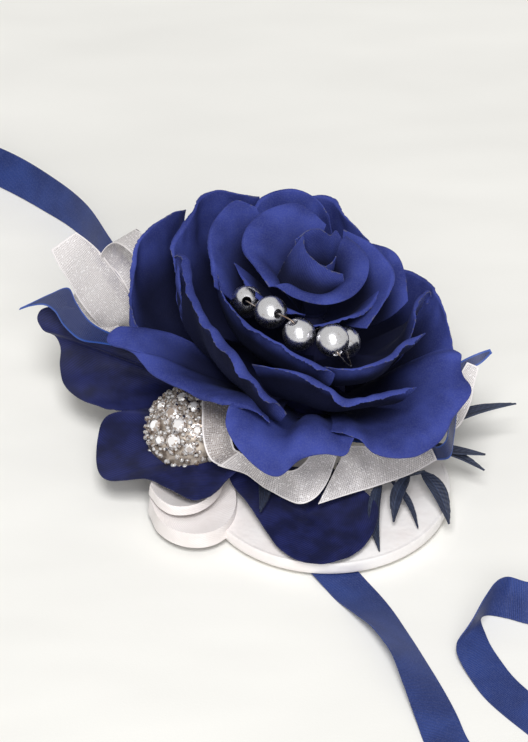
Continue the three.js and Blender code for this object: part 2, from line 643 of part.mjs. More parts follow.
// Cloth strips round the rose. Places are shares of SPREAD from the middle of the base.
const strips = [
  {
    name: 'organza_tail_left', thickness: ORGANZA_THICKNESS, material: 'organza',
    rowShares: [
      [[-0.15, 0.19, 0.145], [-0.126, 0.263, 0.145]],
      [[-0.42, 0.36, 0.19], [-0.36, 0.46, 0.19]],
      [[-0.673, 0.499, 0.25], [-0.554, 0.545, 0.25]],
      [[-0.699, 0.47, 0.3], [-0.578, 0.521, 0.312]],
      [[-0.732, 0.45, 0.362], [-0.621, 0.557, 0.388]],
      [[-0.771, 0.455, 0.425], [-0.67, 0.572, 0.463]],
      [[-0.798, 0.468, 0.481], [-0.714, 0.591, 0.519]],
      [[-0.828, 0.488, 0.525], [-0.744, 0.596, 0.55]],
      [[-0.857, 0.54, 0.556], [-0.781, 0.601, 0.581]],
    ],
  },
  {
    name: 'organza_loop_left', thickness: ORGANZA_THICKNESS, material: 'organza',
    rowShares: [
      [[-0.13, 0.17, 0.17], [-0.115, 0.244, 0.17]],
      [[-0.4, 0.33, 0.2], [-0.36, 0.43, 0.2]],
      [[-0.552, 0.494, 0.325], [-0.503, 0.588, 0.325]],
      [[-0.601, 0.505, 0.388], [-0.522, 0.64, 0.412]],
      [[-0.659, 0.585, 0.438], [-0.553, 0.655, 0.487]],
      [[-0.707, 0.574, 0.5], [-0.584, 0.666, 0.537]],
      [[-0.668, 0.568, 0.562], [-0.594, 0.62, 0.575]],
      [[-0.616, 0.514, 0.575], [-0.549, 0.567, 0.575]],
      [[-0.5, 0.46, 0.42], [-0.47, 0.51, 0.42]],
      [[-0.36, 0.36, 0.29], [-0.34, 0.42, 0.29]],
      [[-0.12, 0.173, 0.21], [-0.11, 0.24, 0.21]],
    ],
  },
  {
    name: 'organza_loop_small', thickness: ORGANZA_THICKNESS, material: 'organza',
    rowShares: [
      [[-0.2, 0.165, 0.135], [-0.195, 0.195, 0.135]],
      [[-0.5, 0.35, 0.21], [-0.48, 0.38, 0.21]],
      [[-0.73, 0.464, 0.32], [-0.7, 0.513, 0.33]],
      [[-0.773, 0.472, 0.358], [-0.743, 0.512, 0.37]],
      [[-0.803, 0.525, 0.38], [-0.772, 0.556, 0.392]],
    ],
  },
  {
    name: 'organza_strip', thickness: ORGANZA_THICKNESS, material: 'organza',
    rowShares: [
      [[-0.16, 0.2, 0.25], [-0.13, 0.18, 0.25]],
      [[-0.373, 0.244, 0.312], [-0.305, 0.234, 0.312]],
      [[-0.384, 0.129, 0.325], [-0.292, 0.109, 0.325]],
      [[-0.383, 0.028, 0.319], [-0.294, 0.004, 0.319]],
      [[-0.382, -0.033, 0.297], [-0.294, -0.052, 0.297]],
      [[-0.373, -0.077, 0.263], [-0.288, -0.078, 0.279]],
      [[-0.355, -0.095, 0.23], [-0.282, -0.088, 0.267]],
      [[-0.325, -0.093, 0.205], [-0.267, -0.085, 0.254]],
    ],
  },
  {
    name: 'organza_loop_front', thickness: ORGANZA_THICKNESS, material: 'organza',
    rowShares: [
      [[-0.317, -0.092, 0.199], [-0.262, -0.083, 0.247]],
      [[-0.267, -0.086, 0.177], [-0.23, -0.088, 0.229]],
      [[-0.212, -0.107, 0.154], [-0.188, -0.104, 0.21]],
      [[-0.142, -0.156, 0.135], [-0.142, -0.106, 0.2]],
      [[-0.084, -0.187, 0.133], [-0.103, -0.114, 0.206]],
      [[-0.042, -0.176, 0.144], [-0.069, -0.091, 0.219]],
      [[-0.008, -0.145, 0.169], [-0.048, -0.065, 0.237]],
      [[0.016, -0.097, 0.2], [-0.023, -0.045, 0.256]],
      [[0.029, -0.056, 0.237], [-0.005, -0.027, 0.269]],
      [[-0.04, 0.115, 0.215], [-0.07, 0.12, 0.215]],
    ],
  },
  {
    name: 'organza_tail_front', thickness: ORGANZA_THICKNESS, material: 'organza',
    rowShares: [
      [[-0.017, -0.17, 0.123], [0.066, -0.036, 0.237]],
      [[0.059, -0.142, 0.131], [0.106, -0.027, 0.23]],
      [[0.16, -0.107, 0.141], [0.176, -0.02, 0.22]],
      [[0.262, -0.063, 0.152], [0.26, 0.001, 0.208]],
      [[0.337, -0.012, 0.163], [0.322, 0.014, 0.185]],
    ],
  },
  {
    name: 'organza_tail_right', thickness: ORGANZA_THICKNESS, material: 'organza',
    rowShares: [
      [[0.078, 0.215, 0.125], [0.062, 0.132, 0.125]],
      [[0.3, 0.2, 0.16], [0.31, 0.13, 0.15]],
      [[0.349, 0.149, 0.25], [0.396, 0.104, 0.188]],
      [[0.396, 0.185, 0.3], [0.443, 0.165, 0.237]],
      [[0.417, 0.207, 0.338], [0.455, 0.193, 0.294]],
      [[0.433, 0.228, 0.356], [0.47, 0.227, 0.338]],
    ],
  },
  {
    name: 'blue_loop_left', thickness: BLUE_LOOP_THICKNESS, material: 'blueSheer',
    rowShares: [
      [[-0.149, 0.145, 0.135], [-0.16, 0.204, 0.135]],
      [[-0.42, 0.27, 0.2], [-0.41, 0.32, 0.22]],
      [[-0.564, 0.386, 0.237], [-0.552, 0.416, 0.25]],
      [[-0.597, 0.368, 0.287], [-0.597, 0.398, 0.3]],
      [[-0.694, 0.337, 0.342], [-0.673, 0.377, 0.355]],
      [[-0.764, 0.311, 0.379], [-0.735, 0.386, 0.395]],
      [[-0.814, 0.344, 0.408], [-0.78, 0.45, 0.421]],
      [[-0.846, 0.398, 0.425], [-0.806, 0.501, 0.438]],
      [[-0.879, 0.429, 0.425], [-0.862, 0.478, 0.431]],
      [[-0.92, 0.437, 0.415], [-0.914, 0.453, 0.419]],
      [[-0.957, 0.425, 0.409], [-0.954, 0.432, 0.411]],
    ],
  },
  {
    name: 'blue_loop_right', thickness: BLUE_LOOP_THICKNESS, material: 'blueSheer',
    rowShares: [
      [[0.033, 0.117, 0.135], [0.054, 0.149, 0.135]],
      [[0.2, 0.08, 0.14], [0.22, 0.12, 0.18]],
      [[0.263, 0.046, 0.131], [0.278, 0.073, 0.169]],
      [[0.305, 0.022, 0.143], [0.313, 0.035, 0.188]],
      [[0.347, -0.006, 0.158], [0.342, -0.006, 0.212]],
      [[0.376, -0.022, 0.182], [0.363, -0.009, 0.242]],
      [[0.389, 0.03, 0.219], [0.373, 0.047, 0.269]],
      [[0.4, 0.106, 0.256], [0.378, 0.128, 0.294]],
    ],
  },
  {
    name: 'blue_tail_right', thickness: BLUE_LOOP_THICKNESS, material: 'blueSheer',
    rowShares: [
      [[0.055, 0.185, 0.15], [0.054, 0.235, 0.15]],
      [[0.352, 0.232, 0.244], [0.353, 0.267, 0.275]],
      [[0.423, 0.26, 0.292], [0.417, 0.28, 0.32]],
      [[0.476, 0.271, 0.315], [0.47, 0.29, 0.344]],
      [[0.514, 0.3, 0.336], [0.507, 0.305, 0.348]],
    ],
  },
  {
    name: 'satin_loop_outer', thickness: SATIN_LOOP_THICKNESS, material: 'whiteSatin',
    rowShares: [
      [[-0.29, 0.17, 0.06], [-0.29, 0.172, 0.09], [-0.282, 0.155, 0.068]],
      [[-0.544, -0.075, 0.028], [-0.539, -0.08, 0.085], [-0.465, -0.08, 0.07]],
      [[-0.537, -0.137, 0.028], [-0.532, -0.142, 0.085], [-0.462, -0.105, 0.07]],
      [[-0.517, -0.194, 0.028], [-0.513, -0.199, 0.085], [-0.454, -0.128, 0.07]],
      [[-0.477, -0.241, 0.028], [-0.474, -0.246, 0.085], [-0.439, -0.147, 0.07]],
      [[-0.425, -0.265, 0.028], [-0.424, -0.269, 0.085], [-0.418, -0.157, 0.07]],
      [[-0.373, -0.265, 0.028], [-0.374, -0.269, 0.085], [-0.398, -0.157, 0.07]],
      [[-0.328, -0.241, 0.028], [-0.33, -0.246, 0.085], [-0.381, -0.147, 0.07]],
      [[-0.291, -0.19, 0.028], [-0.295, -0.194, 0.085], [-0.367, -0.126, 0.07]],
      [[-0.277, -0.118, 0.028], [-0.28, -0.123, 0.085], [-0.361, -0.098, 0.07]],
      [[-0.28, -0.051, 0.028], [-0.284, -0.056, 0.085], [-0.362, -0.071, 0.07]],
      [[-0.296, 0.016, 0.028], [-0.299, 0.012, 0.085], [-0.369, -0.044, 0.07]],
      [[-0.225, 0.11, 0.06], [-0.225, 0.112, 0.09], [-0.235, 0.125, 0.068]],
    ],
  },
  {
    name: 'satin_loop_inner', thickness: SATIN_LOOP_THICKNESS, material: 'whiteSatin',
    rowShares: [
      [[-0.28, 0.18, 0.1], [-0.28, 0.182, 0.13], [-0.272, 0.165, 0.106]],
      [[-0.543, -0.084, 0.099], [-0.539, -0.087, 0.133], [-0.495, -0.049, 0.102]],
      [[-0.533, -0.127, 0.099], [-0.529, -0.13, 0.133], [-0.489, -0.075, 0.102]],
      [[-0.511, -0.165, 0.099], [-0.507, -0.168, 0.133], [-0.475, -0.098, 0.102]],
      [[-0.477, -0.194, 0.099], [-0.474, -0.196, 0.133], [-0.455, -0.115, 0.102]],
      [[-0.437, -0.198, 0.099], [-0.436, -0.201, 0.133], [-0.431, -0.118, 0.102]],
      [[-0.395, -0.184, 0.099], [-0.395, -0.187, 0.133], [-0.405, -0.11, 0.102]],
      [[-0.355, -0.146, 0.099], [-0.357, -0.149, 0.133], [-0.382, -0.087, 0.102]],
      [[-0.328, -0.094, 0.099], [-0.331, -0.096, 0.133], [-0.366, -0.055, 0.102]],
      [[-0.314, -0.036, 0.099], [-0.317, -0.038, 0.133], [-0.357, -0.02, 0.102]],
      [[-0.215, 0.12, 0.1], [-0.215, 0.122, 0.13], [-0.225, 0.135, 0.106]],
    ],
  },
];

// Satin leaves: root line, then the outline from one side round to the other
const leaves = [
  {
    name: 'satin_leaf_left', hump: 0.02,
    rootShares: [[-0.168, 0.171, 0.118], [-0.153, 0.257, 0.118]],
    rimShares: [[-0.4, 0.23, 0.14], [-0.52, 0.25, 0.15], [-0.6, 0.25, 0.158], [-0.664, 0.229, 0.166],
      [-0.715, 0.25, 0.17], [-0.775, 0.285, 0.175], [-0.82, 0.335, 0.188], [-0.835, 0.4, 0.206],
      [-0.833, 0.445, 0.244], [-0.848, 0.462, 0.275], [-0.89, 0.452, 0.315], [-0.905, 0.466, 0.345],
      [-0.893, 0.48, 0.368], [-0.857, 0.479, 0.378], [-0.79, 0.42, 0.36], [-0.69, 0.38, 0.32],
      [-0.4, 0.34, 0.2]],
  },
  {
    name: 'satin_leaf_lower_left', hump: 0.02,
    rootShares: [[-0.141, 0.159, 0.15], [-0.104, 0.109, 0.15]],
    rimShares: [[-0.4, 0.21, 0.19], [-0.55, 0.22, 0.18], [-0.68, 0.22, 0.15], [-0.71, 0.13, 0.13],
      [-0.7, -0.03, 0.125], [-0.67, -0.065, 0.125], [-0.55, -0.09, 0.145], [-0.49, -0.13, 0.15],
      [-0.4, -0.2, 0.155], [-0.34, -0.15, 0.155], [-0.3, -0.06, 0.165]],
  },
  {
    name: 'satin_leaf_front', hump: 0.01,
    rootShares: [[-0.096, 0.048, 0.083], [0.009, 0.048, 0.083]],
    rimShares: [[-0.29, 0.01, 0.132], [-0.3, -0.045, 0.13], [-0.279, -0.098, 0.123], [-0.236, -0.175, 0.111],
      [-0.191, -0.269, 0.099], [-0.143, -0.347, 0.086], [-0.076, -0.391, 0.076], [0.005, -0.396, 0.076],
      [0.071, -0.368, 0.08], [0.123, -0.307, 0.091], [0.152, -0.233, 0.104], [0.15, -0.169, 0.114],
      [0.1, -0.08, 0.115]],
  },
];

function leafGrid({ rootShares, rimShares, hump }) {
  const [rootA, rootB] = rootShares.map(inSpread);
  const rim = smooth(rimShares.map(inSpread));
  return evenly(LEAF_RAYS).map((across) => {
    const edge = rim.getPoint(across);
    const root = rootA.clone().lerp(rootB, across);
    return evenly(LEAF_STEPS + 1).map((t) => {
      const point = root.clone().lerp(edge, t);
      point.z += Math.sin(Math.PI * t) * hump * SPREAD;
      return point;
    });
  });
}

// Sprigs: a stem with slender leaflets, each from a place on the stem to its tip
const sprigs = [
  {
    name: 'leaf_sprig_right',
    stemShares: [[0.092, 0.157, 0.1], [0.2, 0.12, 0.12], [0.29, 0.1, 0.135]],
    leaflets: [
      { fromShares: [0.27, 0.105, 0.13], tipShares: [0.59, 0.25, 0.175], widthShare: 0.048 },
      { fromShares: [0.27, 0.1, 0.13], tipShares: [0.49, 0.06, 0.125], widthShare: 0.04 },
      { fromShares: [0.25, 0.1, 0.13], tipShares: [0.485, 0.015, 0.1], widthShare: 0.04 },
    ],
  },
  {
    name: 'leaf_sprig_front',
    stemShares: [[0.035, 0.057, 0.09], [0.12, -0.04, 0.11], [0.2, -0.055, 0.125], [0.3, -0.04, 0.14]],
    leaflets: [
      { fromShares: [0.29, -0.04, 0.138], tipShares: [0.37, -0.205, 0.069], widthShare: 0.05 },
      { fromShares: [0.25, -0.05, 0.132], tipShares: [0.2, -0.215, 0.085], widthShare: 0.042 },
      { fromShares: [0.192, -0.055, 0.123], tipShares: [0.275, -0.225, 0.069], widthShare: 0.02 },
      { fromShares: [0.165, -0.05, 0.12], tipShares: [0.155, -0.33, 0.067], widthShare: 0.036 },
    ],
  },
  {
    name: 'leaf_sprig_left',
    stemShares: [[-0.142, 0.095, 0.1], [-0.19, -0.02, 0.115], [-0.2, -0.07, 0.118]],
    leaflets: [
      { fromShares: [-0.2, -0.06, 0.118], tipShares: [-0.205, -0.22, 0.13], widthShare: 0.035 },
    ],
  },
];

function leafletGrid({ fromShares, tipShares, widthShare }) {
  const from = inSpread(fromShares);
  const tip = inSpread(tipShares);
  const sideways = new THREE.Vector3().subVectors(tip, from).cross(new THREE.Vector3(0, 0, 1)).normalize();
  const endShare = 0.12;
  return evenly(LEAF_STEPS + 2).map((t) => {
    const half = (widthShare * SPREAD / 2) * Math.max(endShare, Math.sin(Math.PI * t));
    const middle = from.clone().lerp(tip, t);
    return [-1, 1].map((sign) => middle.clone().addScaledVector(sideways, sign * half));
  });
}

function addSprig({ name, stemShares, leaflets }) {
  const swollen = (grow) => {
    const stem = toSolid(tubeGeometry(
      smooth(stemShares.map(inSpread)), SPRIG_THICKNESS / 2 + grow, LEAF_STEPS * 2, WIRE_SIDES,
    ));
    return leaflets.reduce((sprig, leaflet) => {
      const grid = grow ? widened(leafletGrid(leaflet), grow) : leafletGrid(leaflet);
      return sprig.add(toSolid(sheetGeometry(grid, SPRIG_THICKNESS + 2 * grow)));
    }, stem);
  };
  addMesh(name, toGeometry(clearOfOthers(swollen(0))), materials.sprig);
  const solid = swollen(CLEARANCE);
  keepClearOf.push({ solid, box: boxOf(solid) });
}

// Diamante: a domed setting lying on the lower left leaf, with one large stone on top
function addDiamante() {
  const middle = inSpread([-0.425, 0.09, 0.2]);
  const facing = new THREE.Quaternion().setFromUnitVectors(
    new THREE.Vector3(0, 0, 1),
    new THREE.Vector3(-0.25, -0.5, 0.83).normalize(),
  );
  const domeShares = [[0, -0.2], [0.9, -0.2], [1, 0], [0.93, 0.35], [0.72, 0.7], [0.4, 0.93], [0, 1]];
  const dome = (grow) => {
    const profile = domeShares.map(([r, z]) => [
      r * (DIAMANTE_RADIUS + grow),
      z * DIAMANTE_HEIGHT + Math.sign(z) * grow,
    ]);
    return turned(profile, BEAD_SIDES, 0, 0).applyQuaternion(facing).translate(...middle);
  };
  addHard('diamante_setting', dome(0), dome(CLEARANCE), materials.stone);
}

// Tie ribbon: places of its middle line as shares of SPREAD, with its lean in degrees
// from flat (0) to standing on its edge (90)
const underShares = [
  [-0.2, 0.315], [-0.121, 0.185], [-0.09, 0.05], [-0.083, -0.1], [-0.048, -0.245], [0.0095, -0.3478],
];
const leftRun = [
  { placeShares: [-0.2024, 0.3188], lean: 0 },
  { placeShares: [-0.36, 0.58], lean: 25 },
  { placeShares: [-0.55, 0.88], lean: 55 },
  { placeShares: [-0.7, 1.14], lean: 70 },
  { placeShares: [-0.8, 1.38], lean: 80 },
  { placeShares: [-0.93, 1.54], lean: 70 },
  { placeShares: [-1.1, 1.7], lean: 60 },
  { placeShares: [-1.26, 1.79], lean: 85 },
];
const rightRun = [
  { placeShares: [0.014, -0.355], lean: 0 },
  { placeShares: [0.068, -0.436], lean: 0 },
  { placeShares: [0.126, -0.536], lean: 0 },
  { placeShares: [0.178, -0.643], lean: 0 },
  { placeShares: [0.225, -0.754], lean: 0 },
  { placeShares: [0.268, -0.88], lean: 0 },
  { placeShares: [0.305, -1], lean: 0 },
  { placeShares: [0.336, -1.113], lean: 0 },
  { placeShares: [0.4, -1.25], lean: 20 },
  { placeShares: [0.52, -1.37], lean: 60 },
  { placeShares: [0.67, -1.4], lean: 80 },
  { placeShares: [0.78, -1.32], lean: 85 },
  { placeShares: [0.78, -1.21], lean: 60 },
  { placeShares: [0.71, -1.11], lean: 25 },
  { placeShares: [0.623, -1.034], lean: 0 },
];
// The curl: places of the edge it stands on, and which way its width points from there
const curlRows = [
  [[0.66, -0.985], [-0.66, -0.75, 0]],
  [[0.578, -0.883], [-0.68, -0.73, 0]],
  [[0.537, -0.822], [-0.71, -0.7, 0.01]],
  [[0.502, -0.748], [-0.75, -0.66, 0.06]],
  [[0.476, -0.682], [-0.8, -0.56, 0.2]],
  [[0.463, -0.63], [-0.7, -0.66, 0.27]],
  [[0.454, -0.59], [-0.5, -0.78, 0.37]],
  [[0.452, -0.568], [-0.27, -0.76, 0.59]],
  [[0.459, -0.553], [-0.03, -0.45, 0.89]],
  [[0.475, -0.548], [0.1, -0.05, 0.99]],
  [[0.495, -0.551], [0.1, 0.2, 0.97]],
  [[0.54, -0.566], [0.05, 0.59, 0.81]],
  [[0.593, -0.588], [0, 0.62, 0.79]],
  [[0.7, -0.6], [0.1, 0.62, 0.78]],
  [[0.8, -0.63], [0.25, 0.55, 0.8]],
  [[0.87, -0.71], [0.35, 0.3, 0.89]],
  [[0.88, -0.83], [0.35, 0.05, 0.94]],
];

// The strip of a ribbon whose middle line lies on a flat path, rising as it leans
function leaningGrid(run, startHeight, steps) {
  const path = smooth(run.map(({ placeShares: [x, y] }) => inSpread([x, y, 0])));
  const lean = smooth(run.map((place, i) => new THREE.Vector3(i, place.lean, 0)));
  return evenly(steps + 1).map((t) => {
    const middle = path.getPoint(t);
    const angle = THREE.MathUtils.degToRad(lean.getPoint(t).y);
    const along = path.getTangent(t);
    const level = new THREE.Vector3(along.y, -along.x, 0).normalize();
    const side = level.multiplyScalar(Math.cos(angle)).setZ(Math.sin(angle));
    const rest = RIBBON_THICKNESS / 2 + FLOOR_GAP + Math.sin(angle) * RIBBON_WIDTH / 2;
    const early = Math.max(0, 1 - t * steps / 2);
    middle.z = rest + (startHeight - rest) * early;
    return [-1, 1].map((sign) => middle.clone().addScaledVector(side, sign * RIBBON_WIDTH / 2));
  });
}

// The winding: an open spiral standing on its edge, of which the least gap between turns is measured
function coilGrid() {
  const [startX, startY] = leftRun.at(-1).placeShares.map((share) => share * SPREAD);
  const heading = new THREE.Vector2(-0.87, 0.49).normalize();
  const centre = new THREE.Vector2(startX - heading.y * COIL_RADIUS, startY + heading.x * COIL_RADIUS);
  const first = Math.atan2(startY - centre.y, startX - centre.x);
  const steps = COIL_TURNS * COIL_STEPS_PER_TURN;
  const startGap = (RIBBON_THICKNESS + CLEARANCE) / COIL_RADIUS;
  return evenly(steps + 1).map((t) => {
    const angle = first + startGap + t * 2 * Math.PI * COIL_TURNS;
    const radius = COIL_RADIUS - t * COIL_TURNS * COIL_PITCH;
    const x = centre.x + Math.cos(angle) * radius;
    const y = centre.y + Math.sin(angle) * radius;
    return [FLOOR_GAP, FLOOR_GAP + RIBBON_WIDTH].map((z) => new THREE.Vector3(x, y, z));
  });
}

function leastGapBetweenTurns(grid) {
  let least = Infinity;
  for (let i = 0; i < grid.length; i += 1) {
    for (let j = i + COIL_STEPS_PER_TURN / 2; j < grid.length; j += 1) {
      least = Math.min(least, grid[i][0].distanceTo(grid[j][0]) - RIBBON_THICKNESS);
    }
  }
  return least;
}

function lengthOf(grid) {
  const middle = grid.map((row) => row[0].clone().add(row.at(-1)).divideScalar(2));
  return middle.slice(1).reduce((sum, point, i) => sum + point.distanceTo(middle[i]), 0);
}

function addRibbon() {
  const underHeight = FELT_THICKNESS + CLEARANCE + RIBBON_THICKNESS / 2;
  const flat = underShares.map((placeShares) => ({ placeShares, lean: 0 }));
  const under = leaningGrid(flat, underHeight, STRIP_STEPS / 2);
  under.forEach((row) => row.forEach((point) => point.setZ(underHeight)));
  const curlEdge = smooth(curlRows.map(([[x, y]]) => inSpread([x, y, 0])));
  const curlWay = smooth(curlRows.map(([, way]) => new THREE.Vector3(...way)));
  const curl = evenly(3 * STRIP_STEPS + 1).map((t) => {
    const low = curlEdge.getPoint(t).setZ(RIBBON_THICKNESS / 2 + FLOOR_GAP);
    const way = curlWay.getPoint(t);
    way.setZ(Math.max(0, way.z)).normalize();
    return [low, low.clone().addScaledVector(way, RIBBON_WIDTH)];
  });
  const pieces = {
    tie_ribbon_under: under,
    tie_ribbon_left: leaningGrid(leftRun, underHeight, 2 * STRIP_STEPS),
    tie_ribbon_left_coil: coilGrid(),
    tie_ribbon_right: leaningGrid(rightRun, underHeight, 2 * STRIP_STEPS),
    tie_ribbon_right_curl: curl,
  };
  for (const [name, grid] of Object.entries(pieces)) {
    addMesh(name, sheetGeometry(grid, RIBBON_THICKNESS), materials.ribbon);
    console.log(name, 'length', lengthOf(grid).toFixed(1), 'mm');
  }
  console.log('least gap between turns', leastGapBetweenTurns(pieces.tie_ribbon_left_coil).toFixed(2), 'mm');
}

addBase();
addRoseCore();
addBeads();
addWire();
addPetals();
addDiamante();
leaves.forEach((leaf) => addCloth(leaf.name, leafGrid(leaf), LEAF_THICKNESS, materials.leafSatin));
sprigs.forEach(addSprig);
strips.forEach(({ name, rowShares, thickness, material }) => {
  const steps = Math.max(STRIP_STEPS, 2 * rowShares.length - 2);
  addCloth(name, stripGrid(rowShares, steps, inSpread), thickness, materials[material]);
});
addRibbon();

export default model;
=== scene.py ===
"""Looks of a wrist corsage: a blue cloth rose with beads, diamante, organza, satin and a ribbon tie.

Metres, +Z up. Azimuths are in degrees about the rose axis: 0 is +X, 90 the back, 270 the front.
The tables of shares follow those of the CAD source, so each piece lies where its solid does.
"""

import math
import random

import bpy
from mathutils import Matrix, Vector, noise
from mathutils.geometry import area_tri


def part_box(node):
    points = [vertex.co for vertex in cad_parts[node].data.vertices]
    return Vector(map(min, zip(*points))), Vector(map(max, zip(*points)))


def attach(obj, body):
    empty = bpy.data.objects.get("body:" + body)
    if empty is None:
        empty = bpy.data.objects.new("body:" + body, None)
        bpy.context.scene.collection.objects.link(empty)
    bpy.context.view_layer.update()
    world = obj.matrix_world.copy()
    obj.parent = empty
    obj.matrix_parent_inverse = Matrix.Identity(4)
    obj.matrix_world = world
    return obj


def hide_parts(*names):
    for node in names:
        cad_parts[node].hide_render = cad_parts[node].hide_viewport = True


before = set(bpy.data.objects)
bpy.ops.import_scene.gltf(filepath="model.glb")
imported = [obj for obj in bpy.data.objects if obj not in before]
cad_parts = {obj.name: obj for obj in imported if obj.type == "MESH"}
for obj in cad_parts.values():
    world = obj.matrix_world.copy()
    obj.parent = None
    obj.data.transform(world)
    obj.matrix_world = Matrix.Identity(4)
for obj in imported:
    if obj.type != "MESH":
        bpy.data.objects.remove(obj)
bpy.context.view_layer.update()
BODY = "corsage"
UP = Vector((0, 0, 1))

# Driving dimensions, as in the CAD source
SPREAD = 0.080
ROSE_RADIUS = 0.045
ROSE_HEIGHT = 0.064
ROSE_FOOT = Vector((-0.0035, 0.0155, 0))
BASE_RADIUS = 0.0305
RIBBON_WIDTH = 0.010
HUB_RADIUS = 0.006
HUB_BOTTOM = 0.0143
HUB_HEIGHT = ROSE_HEIGHT / 2
BUD_BOTTOM = 0.0466
BUD_CORE_HEIGHT = 0.0075
BUD_CORE_RADIUS = 0.0032
FIRST_ROOT_DROP = 0.003
ROOT_STEP = 0.00145
CLEARANCE = 0.0003
FLOOR_GAP = 0.00005
UNDER_HEIGHT = 0.001
COIL_RADIUS = 0.015
COIL_PITCH = 0.0026
COIL_TURNS = 2
BEAD_RADIUS = 0.004
BEAD_BORE_RADIUS = 0.001
DIAMANTE_RADIUS = 0.011
DIAMANTE_HEIGHT = 0.0075

# Thicknesses as they look
PETAL_THICKNESS = 0.0003
LEAF_THICKNESS = 0.0003
RIBBON_THICKNESS = 0.00032
SHEER_THICKNESS = 0.00016
SATIN_THICKNESS = 0.0003
SPRIG_THICKNESS = 0.0004
WIRE_LOOK_RADIUS = 0.0002

# How finely the pieces are cut
PETAL_RAYS = 181
PETAL_STEPS = 34
ROLL_STEPS = 6
FOLD_ROWS = 60
BUD_ROLL_STEPS = 90
BUD_ROLL_ROWS = 20
LEAF_RAYS = 97
LEAF_STEPS = 24
LEAFLET_COLUMNS = 9
STRIP_STEPS = 80
STRIP_COLUMNS = 13
CURL_ROWS = 110
RIBBON_COLUMNS = 7
RIBBON_ROW_LENGTH = 0.0012
RIBBON_LEAST_ROWS = 4
LATHE_SIDES = 96
BEAD_SIDES = 56
WIRE_SIDES = 12
WIRE_STEPS = 260
STONE_SIDES = 10
SEED_ROWS = 7
SHARP_ANGLE = 40.0
KNOT_LEAST = 0.0001

# Petals: the rolled and nicked rim, the ruffles, and a dark disc under them that fills the gaps between
# their roots with painted shade
ROLL_ANGLE = 120
PETAL_ROLL = 0.0011
ROLL_WAVE = 0.006
ROLL_RISE = 0.45
ROLL_FALL = 0.12
NICK_DEPTH = 0.0003
NICK_LENGTH = 0.0006
PETAL_RUFFLE = 0.0016
PETAL_WAVE = ROSE_RADIUS / 4
PETAL_FINE_WAVE = ROSE_RADIUS / 16
FINE_RUFFLE_SHARE = 0.2
FULL_RUFFLE_RANK = 8
FOLD_WAVE = ROSE_RADIUS / 12
FOLD_RUFFLE = PETAL_RUFFLE / 4
# A dark disc in the hub's navy under the petals: painted shade standing in for the shaded petals between
# their roots
SHADE_DISC_RADIUS = 0.0135
SHADE_DISC_BOTTOM = 0.0195
SHADE_DISC_HEIGHT = 0.004
# How quickly the painted shade darkens the bud's cloth from its rim inwards
BUD_PAINTED_SHADE_REACH = 0.5
BUD_ROLL_TURNS = 2
BUD_ROLL_START = -10
BUD_ROLL_TOP = 0.0625
BUD_ROLL_DROP = 0.007
BUD_ROLL_LEAN = Vector((0.0022, 0.0012, 0))

# Leaves, sprigs, strips and ribbon
LEAF_RUFFLE = 0.0009
LEAF_WAVE = SPREAD / 7
LEAF_FINE_RUFFLE = LEAF_RUFFLE / 4
LEAF_FINE_WAVE = SPREAD / 24
LEAF_FOLD_DEPTH = 0.0006
LEAF_FOLD_SHARE = 0.05
LEAFLET_BELLY = 0.8
LEAFLET_SWELL = 0.8
LEAFLET_TIP_SHARE = 0.08
LEAFLET_ARCH_SHARE = 0.25
LEAFLET_FOLD = 0.35
LEAFLET_NOTCH = 0.0004
LEAFLET_BOW_SHARE = 0.07
SHEER_RUFFLE = 0.0012
STRIP_WAVE = RIBBON_WIDTH / 2
STRIP_EXTRA = 0.04

# Base rim, beads and diamante
RIM_BULGE_SHARE = 0.6
BEAD_MOUTH_SHARE = 1.2
BORE_END_SHARE = 0.9
STONE_TILT = 0.12
STONE_SEED = 7
STONE_DEPTH_SHARE = 0.5
CUP_SHARE = 1.12
CLAW_SHARE = 0.18
CLAWS = 4
SEED_TRIES = 3000
SEED_SPACING = 0.86

# Colours as they look in plain light, red, green and blue from 0 to 255
PETAL_BLUE = (57, 68, 143)
PETAL_SHADE = (40, 48, 110)
PETAL_EDGE = (96, 106, 150)
PETAL_FRAY = (92, 92, 108)
# Painted shade: petals are painted into this navy towards their roots, where they shade each other; it is
# also the real tone of the ribs at their backs
PETAL_RIB_NAVY_AND_PAINTED_SHADE = (10, 12, 30)
LEAF_NAVY = (34, 40, 94)
LEAF_SHADE = (16, 20, 54)
TIE_BLUE = (48, 70, 138)
TIE_SHADE = (36, 54, 112)
SHEER_PALE = (32, 46, 96)
SHEER_BLUE = (22, 33, 76)
SHEER_HEM = (34, 72, 152)
ORGANZA_WHITE = (228, 223, 223)
ORGANZA_SHADE = (186, 180, 180)
ORGANZA_TAN = (168, 152, 140)
SATIN_WHITE = (244, 239, 238)
SATIN_SHADE = (232, 225, 223)
SPRIG_DARK = (24, 29, 47)
SPRIG_PALE = (62, 74, 102)
FELT_WHITE = (240, 238, 234)
BASE_WHITE = (240, 237, 236)
CARD_WHITE = (228, 222, 216)
GLUE_MILK = (226, 220, 204)
CORE_BLUE = (24, 28, 72)
SILVER = (198, 198, 203)
# Painted reflections: the clear stones' facets are painted between the next two colours; the first also
# paints the organza's glints, the second the brown reflections on the seed beads and the marks on the
# plating
STONE_BRIGHT = (250, 250, 252)
STONE_DARK = (136, 116, 100)
PLATE_BROWN = (96, 84, 74)
PLATE_PALE = (190, 178, 166)
FLOOR_WHITE = (243, 242, 238)
# How much darker the table cloth is painted in the troughs of its creases, as painted shade
FLOOR_CREASE_SHADE_SHARE = 0.985

# The wave texture's own scale, and the numbers of the mix node's colour sockets
WAVE_UNIT = 20.0
MIX_COLOR_INPUTS = (6, 7)
MIX_COLOR_OUTPUT = 2

